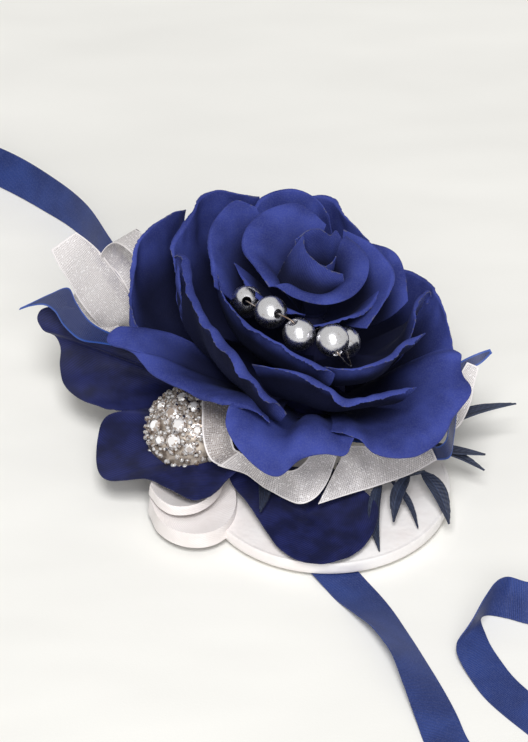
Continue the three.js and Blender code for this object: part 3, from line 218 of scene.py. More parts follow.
# Threads, ribs and edges of the cloths
THREAD_SPACING = 0.00032
THREAD_DEPTH = 0.00006
PILE_DEPTH = THREAD_DEPTH * 2
COARSE_SPACING = THREAD_SPACING * 2
RIB_SPACING = 0.00038
RIB_DEPTH = 0.00005
RIBBON_RIB_SPACING = 0.00045
MESH_SPACING = 0.00045
FRAY_WIDTH = 0.0002
FRAY_LENGTH = RIB_SPACING * 3
SELVEDGE_WIDTH = 0.0006
SELVEDGE_SPAN = (SELVEDGE_WIDTH / 2, SELVEDGE_WIDTH)
WEAVE_WOBBLE = 0.3
RIB_WOBBLE = 0.6
BARB_WOBBLE = 1.0
MESH_WOBBLE = 1.5
STREAK_WOBBLE = 2.0
STREAK_SPACING = 0.22

# Sizes of the clouds of tone and the creases, and how fine the noise is that makes them
PETAL_CLOUD = ROSE_RADIUS / 5
PETAL_CREASE = ROSE_RADIUS / 14
PETAL_CREASE_DEPTH = ROSE_RADIUS / 60
CREASE_DETAIL = 4.0
SPOT_DETAIL = 2.0
THREAD_DETAIL = 1.0
FINE_GRAIN_SHARE = 1 / 3
GRAIN_DEPTH_SHARE = 0.1
SATIN_CLOUD = RIBBON_WIDTH / 2
SATIN_CREASE_DEPTH = RIBBON_WIDTH / 20
SHEER_CLOUD = RIBBON_WIDTH / 3
SILVER_MARK = BEAD_RADIUS / 6
SILVER_MARK_DEPTH = BEAD_RADIUS / 80
SILVER_SCUFF = BEAD_RADIUS / 20
# Size of the brown patches painted on the seed beads as reflections
SEED_REFLECTION_PATCH = BEAD_RADIUS / 5

# Spans of noise or distance over which one tone runs into another
MOTTLE_SPAN = (0.3, 0.7)
PETAL_NAP_SPAN = (0.35, 0.75)
TIE_NAP_SPAN = (0.4, 0.75)
FRAY_SPAN = (0.5, 0.7)
# Span of the across share over which the petals' painted shade fades out towards the rim
PAINTED_SHADE_SPAN = (0.64, 0.99)
GLINT_SPAN = (0.6, 0.75)
MESH_SPAN = (0.3, 0.8)
COVER_SPAN = (0.3, 0.9)
MARK_SPAN = (0.55, 0.75)
# Span of noise for the seed beads' painted brown reflections
SEED_REFLECTION_SPAN = (0.4, 0.62)
PATCH_SPAN = (0.45, 0.7)
SPINE_SPAN = (0.0, 0.08)
FLOOR_SPAN = (0.35, 0.65)

# How much of a second tone shows
PETAL_NAP_TONE = 0.22
PETAL_RIB_TONE = 0.2
PAINTED_SHADE_TONE = 0.94
# Strength of the petals' painted shade at their roots
FRAY_TONE = 0.6
WEAVE_TONE = 0.75
TIE_RIB_TONE = 0.6
TIE_NAP_TONE = 0.25
MARK_TONE = 0.35
PATCH_TONE = 0.35
STREAK_TONE = 0.35
SPINE_TONE = 0.6
BARB_TONE = 0.3

# How much of its depth a relief shows
FAINT = 0.15
SLIGHT = 0.3
MILD = 0.4
FIRM = 0.5
STRONG = 0.6
FULL = 0.8

# Gloss, sheen and cover
PETAL_ROUGHNESS = 0.85
PETAL_SHEEN_ROUGHNESS = PETAL_ROUGHNESS / 2
PETAL_SPECULAR = 0.12
PETAL_SHEEN = 0.05
TIE_ROUGHNESS = 0.55
TIE_SHEEN = 0.05
SATIN_SPECULAR = 0.2
SATIN_STRETCH = 0.5
SHEER_ROUGHNESS = 0.45
SHEER_SPECULAR = 0.6
SHEER_SHEEN = 0.1
COVER_DROP = 0.14
COVER_RISE = 0.1
HEM_COVER = 0.95
SPRIG_ROUGHNESS = 0.6
SPRIG_SPECULAR = 0.4
SILVER_ROUGHNESS = 0.22
SILVER_BRIGHT_ROUGHNESS = SILVER_ROUGHNESS * 0.7
SILVER_SCUFF_ROUGHNESS = SILVER_ROUGHNESS * 1.6
STONE_ROUGHNESS = 0.12
STONE_METALLIC = 0.1
STONE_COAT_ROUGHNESS = 0.02
SEED_TRANSMISSION = 0.5
TABLE_ROUGHNESS = 0.9
TABLE_SPECULAR = 0.1

# Satins: colour, shade, roughness and sheen
satin_looks = {
    "leaf_satin": (LEAF_NAVY, LEAF_SHADE, 0.58, 0.04),
    "white_satin": (SATIN_WHITE, SATIN_SHADE, 0.42, 0.1),
}
# Sheer cloths: colour, shade and hem, how much they cover and how strongly their painted glints show
sheer_looks = {
    "organza": (ORGANZA_WHITE, ORGANZA_SHADE, ORGANZA_WHITE, 0.62, 0.3),
    "organza_strip": (ORGANZA_SHADE, ORGANZA_TAN, ORGANZA_WHITE, 0.5, 0.3),
    "blue_sheer": (SHEER_PALE, SHEER_BLUE, SHEER_HEM, 0.94, 0.0),
}
# Plain surfaces: colour, shade, size of their spots, roughness, metal and strength of relief
plain_looks = {
    "base_satin": (BASE_WHITE, SATIN_SHADE, RIBBON_WIDTH, 0.42, 0.0, SLIGHT),
    "rim_ribbon": (BASE_WHITE, SATIN_SHADE, RIBBON_WIDTH, 0.42, 0.0, SLIGHT),
    "silver_plate": (SILVER, STONE_DARK, BEAD_BORE_RADIUS, 0.25, 1.0, SLIGHT),
    "wire": (SILVER, STONE_DARK, BEAD_RADIUS, 0.3, 1.0, SLIGHT),
    "diamante_plate": (PLATE_PALE, PLATE_BROWN, BEAD_RADIUS / 2, 0.4, 0.3, SLIGHT),
    "felt": (FELT_WHITE, CARD_WHITE, THREAD_SPACING * 4, 0.95, 0.0, FULL),
    "card": (CARD_WHITE, GLUE_MILK, RIBBON_WIDTH / 4, 0.8, 0.0, SLIGHT),
    "glue": (GLUE_MILK, CARD_WHITE, RIBBON_WIDTH / 3, 0.35, 0.0, SLIGHT),
    "core": (CORE_BLUE, LEAF_SHADE, RIBBON_WIDTH / 4, 0.6, 0.0, SLIGHT),
}

# Stage and camera
FLOOR_SIZE = 4.0
FLOOR_CREASE = 0.09
FLOOR_CREASE_TURN = -25
FLOOR_CREASE_STRETCH = 2.2
FLOOR_CREASE_DEPTH = 0.0018
WORLD_STRENGTH = 0.3
LAMP_DISTANCE = 2.6
# Name, azimuth, elevation, power in watts, size
lamps = [
    ("key", 266, 58, 52.0, 0.9),
    ("front", 275, 30, 24.0, 1.4),
]
CAMERA_AZIMUTH = 270
CAMERA_ELEVATION = 38.0
CAMERA_DISTANCE = 1.0
CAMERA_LENS = 196.0
CAMERA_TARGET = Vector((-0.0155, 0.01915, 0.025))

# The hub swells like a rose hip: shares of its radius and of its height
hub_shares = [[1, 0], [1.35, 0.25], [1.15, 0.45], [0.4, 1]]

# The two folded petals of the bud. Each row runs from low to rim, and gives places in the rose.
bud_fold_shares = {
    "bud_petal_left": [
        [[165, 0.209, 0.844], [146, 0.165, 0.938], [111, 0.16, 1.006]],
        [[-167, 0.174, 0.836], [174, 0.122, 0.922], [132, 0.07, 1]],
        [[-139, 0.126, 0.841], [-143, 0.079, 0.916], [-104, 0.043, 0.997]],
        [[-85, 0.149, 0.852], [-73, 0.115, 0.911], [-60, 0.117, 0.981]],
        [[-26, 0.187, 0.82], [-28, 0.19, 0.891], [-35, 0.19, 0.953]],
    ],
    "bud_petal_back": [
        [[131, 0.102, 0.797], [127, 0.167, 0.898], [126, 0.161, 0.992]],
        [[97, 0.094, 0.805], [98, 0.179, 0.914], [98, 0.2, 1.005]],
        [[63, 0.099, 0.812], [76, 0.172, 0.914], [80, 0.201, 1.009]],
        [[41, 0.118, 0.812], [55, 0.168, 0.917], [61, 0.184, 1]],
        [[24, 0.134, 0.82], [42, 0.176, 0.938], [54, 0.206, 1.02]],
        [[8, 0.168, 0.828], [24, 0.194, 0.938], [44, 0.206, 0.991]],
    ],
}

# Petals from the middle of the rose outwards. After its name each has: azimuth of its root and half
# the root's width in degrees, how much faster, above 1, or slower its painted shade deepens inwards and how
# many times wider than PETAL_ROLL its rim rolls back; belly and shoulder, which bend each ray from the
# core to the rim, as share of the ray's reach, share of its rise and a hump as a share of the rose's
# height; and the rim as azimuth, share of the rose's radius and share of its height.
petal_shares = [
    ("bud_petal_front", [-50, 70, 0.6, 0.4], [0.35, 1.15, 0], [0.62, 1.25, 0], [
        [-158, 0.22, 0.89], [-120, 0.2, 0.88], [-74, 0.24, 0.88], [-41, 0.27, 0.89], [-10, 0.29, 0.91],
        [11, 0.3, 0.945], [25, 0.275, 0.97], [42, 0.25, 0.985],
    ]),
    ("whorl_petal_back_left", [135, 50, 0.45, 1], [0.3, 0.4, 0], [0.55, 0.95, 0], [
        [198, 0.25, 0.88], [172, 0.31, 0.91], [151, 0.44, 0.94], [135, 0.48, 0.97], [119, 0.49, 0.99],
        [102, 0.47, 1], [91, 0.42, 0.98], [78, 0.34, 0.96],
    ]),
    ("whorl_petal_right", [5, 45, 0.7, 1], [0.55, 0.3, 0], [0.85, 0.8, 0], [
        [60, 0.33, 0.96], [33, 0.35, 0.95], [22, 0.39, 0.92], [10, 0.43, 0.88], [-8, 0.41, 0.85],
        [-24, 0.38, 0.81], [-38, 0.36, 0.76],
    ]),
    ("whorl_petal_front_left", [200, 45, 1, 1], [0.4, 0.3, 0], [0.7, 0.8, 0], [
        [150, 0.49, 0.83], [165, 0.4, 0.83], [182, 0.32, 0.82], [208, 0.24, 0.82], [258, 0.22, 0.82],
    ]),
    ("whorl_petal_front", [300, 45, 1, 1], [0.4, 0.4, 0], [0.75, 0.85, 0], [
        [244, 0.24, 0.77], [276, 0.23, 0.78], [308, 0.27, 0.8], [337, 0.32, 0.81], [359, 0.36, 0.82],
    ]),
    ("inner_petal_left", [150, 40, 0.85, 1], [0.5, 0.1, 0], [0.75, 0.7, 0], [
        [180, 0.53, 0.84], [168, 0.56, 0.88], [159, 0.6, 0.91], [150, 0.64, 0.94], [139, 0.68, 0.95],
        [128, 0.68, 0.97], [121, 0.6, 0.95],
    ]),
    ("inner_petal_back", [100, 35, 0.6, 1], [0.6, 0.1, 0], [0.9, 0.6, 0], [
        [121, 0.62, 0.91], [116, 0.66, 0.94], [108, 0.67, 0.96], [98, 0.65, 0.97], [89, 0.61, 0.95],
        [80, 0.52, 0.91],
    ]),
    ("inner_petal_back_right", [45, 35, 0.85, 1], [0.6, 0.1, 0], [0.85, 0.7, 0], [
        [70, 0.48, 0.8], [58, 0.52, 0.81], [50, 0.58, 0.8], [45, 0.64, 0.77], [36, 0.62, 0.72],
        [22, 0.56, 0.66],
    ]),
    ("inner_petal_front_left", [226, 45, 1.35, 1.6], [0.85, -0.05, 0], [1, 0.5, 0], [
        [173, 0.53, 0.86], [186, 0.49, 0.84], [206, 0.46, 0.83], [226, 0.45, 0.83], [246, 0.46, 0.81],
        [262, 0.5, 0.79], [274, 0.54, 0.77], [281, 0.59, 0.74],
    ]),
    ("inner_petal_front_right", [310, 35, 1.4, 1.8], [0.8, -0.05, 0], [0.9, 0.6, 0], [
        [276, 0.55, 0.76], [284, 0.59, 0.77], [294, 0.62, 0.77], [303, 0.64, 0.77], [312, 0.63, 0.77],
        [324, 0.61, 0.77], [338, 0.64, 0.75],
    ]),
    ("mid_petal_back_left", [138, 35, 0.85, 1], [0.7, -0.05, 0], [1, 0.5, 0], [
        [163, 0.78, 0.68], [155, 0.82, 0.84], [148, 0.83, 0.89], [143, 0.84, 0.92], [136, 0.88, 0.94],
        [129, 0.85, 0.95], [122, 0.76, 0.95], [114, 0.72, 0.93],
    ]),
    ("mid_petal_back", [78, 35, 0.6, 1], [0.7, 0, 0], [0.95, 0.55, 0], [
        [102, 0.72, 0.86], [92, 0.72, 0.89], [82, 0.71, 0.89], [70, 0.62, 0.86], [58, 0.58, 0.8],
    ]),
    ("mid_petal_right", [0, 30, 1.3, 1.5], [0.6, 0, 0], [0.9, 0.55, 0], [
        [-22, 0.55, 0.66], [-5, 0.55, 0.7], [10, 0.57, 0.72], [21, 0.66, 0.7], [24, 0.66, 0.64],
        [22, 0.62, 0.58],
    ]),
    ("mid_petal_left", [208, 35, 1.6, 2.8], [0.8, -0.15, 0], [1, 0.45, 0], [
        [172, 0.72, 0.66], [169, 0.74, 0.78], [162, 0.77, 0.86], [165, 0.7, 0.9], [189, 0.63, 0.85],
        [211, 0.61, 0.81], [232, 0.62, 0.78], [250, 0.68, 0.68], [257, 0.66, 0.58],
    ]),
    ("mid_petal_front", [275, 35, 1.7, 2.4], [0.7, 0, 0], [0.9, 0.7, 0], [
        [236, 0.58, 0.74], [250, 0.58, 0.76], [262, 0.59, 0.76], [277, 0.64, 0.72], [286, 0.67, 0.68],
        [299, 0.69, 0.67], [309, 0.72, 0.66], [316, 0.76, 0.64],
    ]),
    ("outer_petal_left", [158, 30, 1.15, 1], [0.8, -0.2, 0], [1.05, 0.25, 0], [
        [169, 0.92, 0.5], [167, 1, 0.56], [166, 1.02, 0.65], [164, 1.01, 0.8], [160, 1.02, 0.86],
        [152, 0.95, 0.91], [145, 0.93, 0.92], [138, 0.94, 0.88],
    ]),
    ("outer_petal_back", [105, 30, 0.6, 1], [0.7, -0.1, 0], [1, 0.4, 0], [
        [134, 0.92, 0.62], [126, 0.96, 0.72], [110, 0.93, 0.76], [95, 0.92, 0.72], [82, 0.88, 0.66],
        [74, 0.82, 0.58],
    ]),
    ("outer_petal_right", [30, 30, 0.8, 1], [0.7, -0.05, 0], [0.95, 0.5, 0], [
        [72, 0.8, 0.5], [60, 0.86, 0.54], [46, 0.84, 0.57], [33, 0.8, 0.58], [20, 0.79, 0.55],
        [8, 0.78, 0.48],
    ]),
    ("low_petal_right", [316, 30, 0.55, 1], [0.4, 0.5, 0.05], [0.8, 0.95, 0.08], [
        [353, 0.74, 0.6], [349, 0.82, 0.62], [343, 0.84, 0.58], [336, 0.93, 0.55], [325, 0.91, 0.5],
        [314, 0.96, 0.48], [301, 0.95, 0.48], [292, 0.88, 0.49], [286, 0.8, 0.53], [277, 0.72, 0.53],
    ]),
    ("low_petal_left", [205, 30, 0.65, 1], [0.4, 0.4, 0.03], [0.8, 1, 0.05], [
        [172, 0.8, 0.56], [173, 0.95, 0.58], [174, 1.07, 0.59], [178, 1.12, 0.56], [182, 0.98, 0.54],
        [192, 0.9, 0.53], [206, 0.78, 0.54], [226, 0.73, 0.58], [242, 0.71, 0.6], [250, 0.7, 0.55],
    ]),
    ("low_petal_front", [260, 28, 0.35, 0.6], [0.4, 0.7, 0.05], [0.85, 1, 0.16], [
        [233, 0.76, 0.6], [237, 0.85, 0.56], [244, 0.88, 0.49], [257, 0.9, 0.42], [265, 0.84, 0.48],
        [274, 0.83, 0.5], [281, 0.84, 0.49], [286, 0.8, 0.53],
    ]),
]

# Satin leaves: hump, root line, then the outline from one side round to the other
leaf_shares = [
    ("satin_leaf_left", 0.02, [[-0.168, 0.171, 0.118], [-0.153, 0.257, 0.118]], [
        [-0.4, 0.23, 0.14], [-0.52, 0.25, 0.15], [-0.6, 0.25, 0.158], [-0.664, 0.229, 0.166],
        [-0.715, 0.25, 0.17], [-0.775, 0.285, 0.175], [-0.82, 0.335, 0.188], [-0.835, 0.4, 0.206],
        [-0.833, 0.445, 0.244], [-0.848, 0.462, 0.275], [-0.89, 0.452, 0.315], [-0.905, 0.466, 0.345],
        [-0.893, 0.48, 0.368], [-0.857, 0.479, 0.378], [-0.79, 0.42, 0.36], [-0.69, 0.38, 0.32],
        [-0.4, 0.34, 0.2],
    ]),
    ("satin_leaf_lower_left", 0.02, [[-0.141, 0.159, 0.15], [-0.104, 0.109, 0.15]], [
        [-0.4, 0.21, 0.19], [-0.55, 0.22, 0.18], [-0.68, 0.22, 0.15], [-0.71, 0.13, 0.13],
        [-0.7, -0.03, 0.125], [-0.67, -0.065, 0.125], [-0.55, -0.09, 0.145], [-0.49, -0.13, 0.15],
        [-0.4, -0.2, 0.155], [-0.34, -0.15, 0.155], [-0.3, -0.06, 0.165],
    ]),
    ("satin_leaf_front", 0.01, [[-0.096, 0.048, 0.083], [0.009, 0.048, 0.083]], [
        [-0.29, 0.01, 0.132], [-0.3, -0.045, 0.13], [-0.279, -0.098, 0.123], [-0.236, -0.175, 0.111],
        [-0.191, -0.269, 0.099], [-0.143, -0.347, 0.086], [-0.076, -0.391, 0.076], [0.005, -0.396, 0.076],
        [0.071, -0.368, 0.08], [0.123, -0.307, 0.091], [0.152, -0.233, 0.104], [0.15, -0.169, 0.114],
        [0.1, -0.08, 0.115],
    ]),
]

# Slot in the CAD source, thickness and ruffle of the strips of each look
strip_looks = {
    "organza": ("organza", SHEER_THICKNESS, SHEER_RUFFLE),
    "organza_strip": ("organza", SHEER_THICKNESS, SHEER_RUFFLE),
    "blue_sheer": ("blue_sheer", SHEER_THICKNESS, SHEER_RUFFLE / 2),
    "white_satin": ("white_satin", SATIN_THICKNESS, SHEER_RUFFLE / 8),
}
# Cloth strips round the rose: the look, and rows with one place on every edge line
strip_shares = [
    ("organza_tail_left", "organza", [
        [[-0.15, 0.19, 0.145], [-0.126, 0.263, 0.145]], [[-0.42, 0.36, 0.19], [-0.36, 0.46, 0.19]],
        [[-0.673, 0.499, 0.25], [-0.554, 0.545, 0.25]], [[-0.699, 0.47, 0.3], [-0.578, 0.521, 0.312]],
        [[-0.732, 0.45, 0.362], [-0.621, 0.557, 0.388]], [[-0.771, 0.455, 0.425], [-0.67, 0.572, 0.463]],
        [[-0.798, 0.468, 0.481], [-0.714, 0.591, 0.519]], [[-0.828, 0.488, 0.525], [-0.744, 0.596, 0.55]],
        [[-0.857, 0.54, 0.556], [-0.781, 0.601, 0.581]],
    ]),
    ("organza_loop_left", "organza", [
        [[-0.13, 0.17, 0.17], [-0.115, 0.244, 0.17]], [[-0.4, 0.33, 0.2], [-0.36, 0.43, 0.2]],
        [[-0.552, 0.494, 0.325], [-0.503, 0.588, 0.325]], [[-0.601, 0.505, 0.388], [-0.522, 0.64, 0.412]],
        [[-0.659, 0.585, 0.438], [-0.553, 0.655, 0.487]], [[-0.707, 0.574, 0.5], [-0.584, 0.666, 0.537]],
        [[-0.668, 0.568, 0.562], [-0.594, 0.62, 0.575]], [[-0.616, 0.514, 0.575], [-0.549, 0.567, 0.575]],
        [[-0.5, 0.46, 0.42], [-0.47, 0.51, 0.42]], [[-0.36, 0.36, 0.29], [-0.34, 0.42, 0.29]],
        [[-0.12, 0.173, 0.21], [-0.11, 0.24, 0.21]],
    ]),
    ("organza_loop_small", "organza", [
        [[-0.2, 0.165, 0.135], [-0.195, 0.195, 0.135]], [[-0.5, 0.35, 0.21], [-0.48, 0.38, 0.21]],
        [[-0.73, 0.464, 0.32], [-0.7, 0.513, 0.33]], [[-0.773, 0.472, 0.358], [-0.743, 0.512, 0.37]],
        [[-0.803, 0.525, 0.38], [-0.772, 0.556, 0.392]],
    ]),
    ("organza_strip", "organza_strip", [
        [[-0.16, 0.2, 0.25], [-0.13, 0.18, 0.25]], [[-0.373, 0.244, 0.312], [-0.305, 0.234, 0.312]],
        [[-0.384, 0.129, 0.325], [-0.292, 0.109, 0.325]], [[-0.383, 0.028, 0.319], [-0.294, 0.004, 0.319]],
        [[-0.382, -0.033, 0.297], [-0.294, -0.052, 0.297]],
        [[-0.373, -0.077, 0.263], [-0.288, -0.078, 0.279]],
        [[-0.355, -0.095, 0.23], [-0.282, -0.088, 0.267]],
        [[-0.325, -0.093, 0.205], [-0.267, -0.085, 0.254]],
    ]),
    ("organza_loop_front", "organza", [
        [[-0.317, -0.092, 0.199], [-0.262, -0.083, 0.247]],
        [[-0.267, -0.086, 0.177], [-0.23, -0.088, 0.229]], [[-0.212, -0.107, 0.154], [-0.188, -0.104, 0.21]],
        [[-0.142, -0.156, 0.135], [-0.142, -0.106, 0.2]], [[-0.084, -0.187, 0.133], [-0.103, -0.114, 0.206]],
        [[-0.042, -0.176, 0.144], [-0.069, -0.091, 0.219]],
        [[-0.008, -0.145, 0.169], [-0.048, -0.065, 0.237]], [[0.016, -0.097, 0.2], [-0.023, -0.045, 0.256]],
        [[0.029, -0.056, 0.237], [-0.005, -0.027, 0.269]], [[-0.04, 0.115, 0.215], [-0.07, 0.12, 0.215]],
    ]),
    ("organza_tail_front", "organza", [
        [[-0.017, -0.17, 0.123], [0.066, -0.036, 0.237]], [[0.059, -0.142, 0.131], [0.106, -0.027, 0.23]],
        [[0.16, -0.107, 0.141], [0.176, -0.02, 0.22]], [[0.262, -0.063, 0.152], [0.26, 0.001, 0.208]],
        [[0.337, -0.012, 0.163], [0.322, 0.014, 0.185]],
    ]),
    ("organza_tail_right", "organza", [
        [[0.078, 0.215, 0.125], [0.062, 0.132, 0.125]], [[0.3, 0.2, 0.16], [0.31, 0.13, 0.15]],
        [[0.349, 0.149, 0.25], [0.396, 0.104, 0.188]], [[0.396, 0.185, 0.3], [0.443, 0.165, 0.237]],
        [[0.417, 0.207, 0.338], [0.455, 0.193, 0.294]], [[0.433, 0.228, 0.356], [0.47, 0.227, 0.338]],
    ]),
    ("blue_loop_left", "blue_sheer", [
        [[-0.149, 0.145, 0.135], [-0.16, 0.204, 0.135]], [[-0.42, 0.27, 0.2], [-0.41, 0.32, 0.22]],
        [[-0.564, 0.386, 0.237], [-0.552, 0.416, 0.25]], [[-0.597, 0.368, 0.287], [-0.597, 0.398, 0.3]],
        [[-0.694, 0.337, 0.342], [-0.673, 0.377, 0.355]], [[-0.764, 0.311, 0.379], [-0.735, 0.386, 0.395]],
        [[-0.814, 0.344, 0.408], [-0.78, 0.45, 0.421]], [[-0.846, 0.398, 0.425], [-0.806, 0.501, 0.438]],
        [[-0.879, 0.429, 0.425], [-0.862, 0.478, 0.431]], [[-0.92, 0.437, 0.415], [-0.914, 0.453, 0.419]],
        [[-0.957, 0.425, 0.409], [-0.954, 0.432, 0.411]],
    ]),
    ("blue_loop_right", "blue_sheer", [
        [[0.033, 0.117, 0.135], [0.054, 0.149, 0.135]], [[0.2, 0.08, 0.14], [0.22, 0.12, 0.18]],
        [[0.263, 0.046, 0.131], [0.278, 0.073, 0.169]], [[0.305, 0.022, 0.143], [0.313, 0.035, 0.188]],
        [[0.347, -0.006, 0.158], [0.342, -0.006, 0.212]], [[0.376, -0.022, 0.182], [0.363, -0.009, 0.242]],
        [[0.389, 0.03, 0.219], [0.373, 0.047, 0.269]], [[0.4, 0.106, 0.256], [0.378, 0.128, 0.294]],
    ]),
    ("blue_tail_right", "blue_sheer", [
        [[0.055, 0.185, 0.15], [0.054, 0.235, 0.15]], [[0.352, 0.232, 0.244], [0.353, 0.267, 0.275]],
        [[0.423, 0.26, 0.292], [0.417, 0.28, 0.32]], [[0.476, 0.271, 0.315], [0.47, 0.29, 0.344]],
        [[0.514, 0.3, 0.336], [0.507, 0.305, 0.348]],
    ]),
    ("satin_loop_outer", "white_satin", [
        [[-0.29, 0.17, 0.06], [-0.29, 0.172, 0.09], [-0.282, 0.155, 0.068]],
        [[-0.544, -0.075, 0.028], [-0.539, -0.08, 0.085], [-0.465, -0.08, 0.07]],
        [[-0.537, -0.137, 0.028], [-0.532, -0.142, 0.085], [-0.462, -0.105, 0.07]],
        [[-0.517, -0.194, 0.028], [-0.513, -0.199, 0.085], [-0.454, -0.128, 0.07]],
        [[-0.477, -0.241, 0.028], [-0.474, -0.246, 0.085], [-0.439, -0.147, 0.07]],
        [[-0.425, -0.265, 0.028], [-0.424, -0.269, 0.085], [-0.418, -0.157, 0.07]],
        [[-0.373, -0.265, 0.028], [-0.374, -0.269, 0.085], [-0.398, -0.157, 0.07]],
        [[-0.328, -0.241, 0.028], [-0.33, -0.246, 0.085], [-0.381, -0.147, 0.07]],
        [[-0.291, -0.19, 0.028], [-0.295, -0.194, 0.085], [-0.367, -0.126, 0.07]],
        [[-0.277, -0.118, 0.028], [-0.28, -0.123, 0.085], [-0.361, -0.098, 0.07]],
        [[-0.28, -0.051, 0.028], [-0.284, -0.056, 0.085], [-0.362, -0.071, 0.07]],
        [[-0.296, 0.016, 0.028], [-0.299, 0.012, 0.085], [-0.369, -0.044, 0.07]],
        [[-0.225, 0.11, 0.06], [-0.225, 0.112, 0.09], [-0.235, 0.125, 0.068]],
    ]),
    ("satin_loop_inner", "white_satin", [
        [[-0.28, 0.18, 0.1], [-0.28, 0.182, 0.13], [-0.272, 0.165, 0.106]],
        [[-0.543, -0.084, 0.099], [-0.539, -0.087, 0.133], [-0.495, -0.049, 0.102]],
        [[-0.533, -0.127, 0.099], [-0.529, -0.13, 0.133], [-0.489, -0.075, 0.102]],
        [[-0.511, -0.165, 0.099], [-0.507, -0.168, 0.133], [-0.475, -0.098, 0.102]],
        [[-0.477, -0.194, 0.099], [-0.474, -0.196, 0.133], [-0.455, -0.115, 0.102]],
        [[-0.437, -0.198, 0.099], [-0.436, -0.201, 0.133], [-0.431, -0.118, 0.102]],
        [[-0.395, -0.184, 0.099], [-0.395, -0.187, 0.133], [-0.405, -0.11, 0.102]],
        [[-0.355, -0.146, 0.099], [-0.357, -0.149, 0.133], [-0.382, -0.087, 0.102]],
        [[-0.328, -0.094, 0.099], [-0.331, -0.096, 0.133], [-0.366, -0.055, 0.102]],
        [[-0.314, -0.036, 0.099], [-0.317, -0.038, 0.133], [-0.357, -0.02, 0.102]],
        [[-0.215, 0.12, 0.1], [-0.215, 0.122, 0.13], [-0.225, 0.135, 0.106]],
    ]),
]

# Sprigs: a stem, and slender leaflets, each from a place on the stem to its tip, with its width
sprig_shares = [
    ("leaf_sprig_right", [
        [0.092, 0.157, 0.1], [0.2, 0.12, 0.12], [0.29, 0.1, 0.135],
    ], [
        [[0.27, 0.105, 0.13], [0.59, 0.25, 0.175], 0.048],
        [[0.27, 0.1, 0.13], [0.49, 0.06, 0.125], 0.04],
        [[0.25, 0.1, 0.13], [0.485, 0.015, 0.1], 0.04],
    ]),
    ("leaf_sprig_front", [
        [0.035, 0.057, 0.09], [0.12, -0.04, 0.11], [0.2, -0.055, 0.125], [0.3, -0.04, 0.14],
    ], [
        [[0.29, -0.04, 0.138], [0.37, -0.205, 0.069], 0.05],
        [[0.25, -0.05, 0.132], [0.2, -0.215, 0.085], 0.042],
        [[0.192, -0.055, 0.123], [0.275, -0.225, 0.069], 0.02],
        [[0.165, -0.05, 0.12], [0.155, -0.33, 0.067], 0.036],
    ]),
    ("leaf_sprig_left", [
        [-0.142, 0.095, 0.1], [-0.19, -0.02, 0.115], [-0.2, -0.07, 0.118],
    ], [
        [[-0.2, -0.06, 0.118], [-0.205, -0.22, 0.13], 0.035],
    ]),
]

# Beads: the centre as a place in the rose, and the way that the hole runs
bead_shares = {
    "bead_1": [[180, 0.36, 0.77], [0, -0.79, 0.62]],
    "bead_2": [[222, 0.31, 0.83], [0.46, -0.77, 0.45]],
    "bead_3": [[257, 0.355, 0.8], [-0.37, 0, 0.93]],
    "bead_4": [[283.5, 0.42, 0.805], [0.3, -0.92, -0.26]],
    "bead_5": [[302, 0.31, 0.715], [0.25, -0.6, -0.76]],
}
# The wire's run: through a bead, forwards at 1 or backwards at -1, or over a place in the rose
wire_stop_shares = [
    [176, 0.27, 0.66], ("bead_1", 1), ("bead_2", 1), ("bead_3", -1), [268, 0.26, 0.76], ("bead_4", 1),
    [290, 0.5, 0.73], [297, 0.44, 0.675], ("bead_5", -1),
]
bore_stop_shares = (-1, -0.5, 0, 0.5, 1)

# Tie ribbon: places of its middle line and its lean in degrees from flat to on its edge
under_shares = [
    [-0.2, 0.315], [-0.121, 0.185], [-0.09, 0.05], [-0.083, -0.1], [-0.048, -0.245], [0.0095, -0.3478],
]
left_run_shares = [
    ([-0.2024, 0.3188], 0), ([-0.36, 0.58], 25), ([-0.55, 0.88], 55), ([-0.7, 1.14], 70), ([-0.8, 1.38], 80),
    ([-0.93, 1.54], 70), ([-1.1, 1.7], 60), ([-1.26, 1.79], 85),
]
coil_heading_shares = (-0.87, 0.49)
right_run_shares = [
    ([0.014, -0.355], 0), ([0.068, -0.436], 0), ([0.126, -0.536], 12), ([0.178, -0.643], 27),
    ([0.225, -0.754], 31), ([0.268, -0.88], 20), ([0.305, -1], 6), ([0.336, -1.113], 0), ([0.4, -1.25], 20),
    ([0.52, -1.37], 60), ([0.67, -1.4], 80), ([0.78, -1.32], 85), ([0.78, -1.21], 60), ([0.71, -1.11], 25),
    ([0.623, -1.034], 0),
]
# The curl at its right end: places of its lower edge, and the way from there to its upper edge
curl_stop_shares = [
    [[0.66, -0.985], [-0.66, -0.75, 0]], [[0.578, -0.883], [-0.68, -0.73, 0]],
    [[0.537, -0.822], [-0.71, -0.7, 0.01]], [[0.502, -0.748], [-0.75, -0.66, 0.06]],
    [[0.476, -0.682], [-0.8, -0.56, 0.2]], [[0.463, -0.63], [-0.7, -0.66, 0.27]],
    [[0.454, -0.59], [-0.5, -0.78, 0.37]], [[0.452, -0.568], [-0.27, -0.76, 0.59]],
    [[0.459, -0.553], [-0.03, -0.45, 0.89]], [[0.475, -0.548], [0.1, -0.05, 0.99]],
    [[0.495, -0.551], [0.1, 0.2, 0.97]], [[0.54, -0.566], [0.05, 0.59, 0.81]],
    [[0.593, -0.588], [0, 0.62, 0.79]], [[0.7, -0.6], [0.1, 0.62, 0.78]], [[0.8, -0.63], [0.25, 0.55, 0.8]],
    [[0.87, -0.71], [0.35, 0.3, 0.89]], [[0.88, -0.83], [0.35, 0.05, 0.94]],
]

# Round base: how far out its rim band stands from bottom to top
rim_bulge_shares = (0.6, 0.9, 1, 1, 1, 1, 0.9, 0.6)

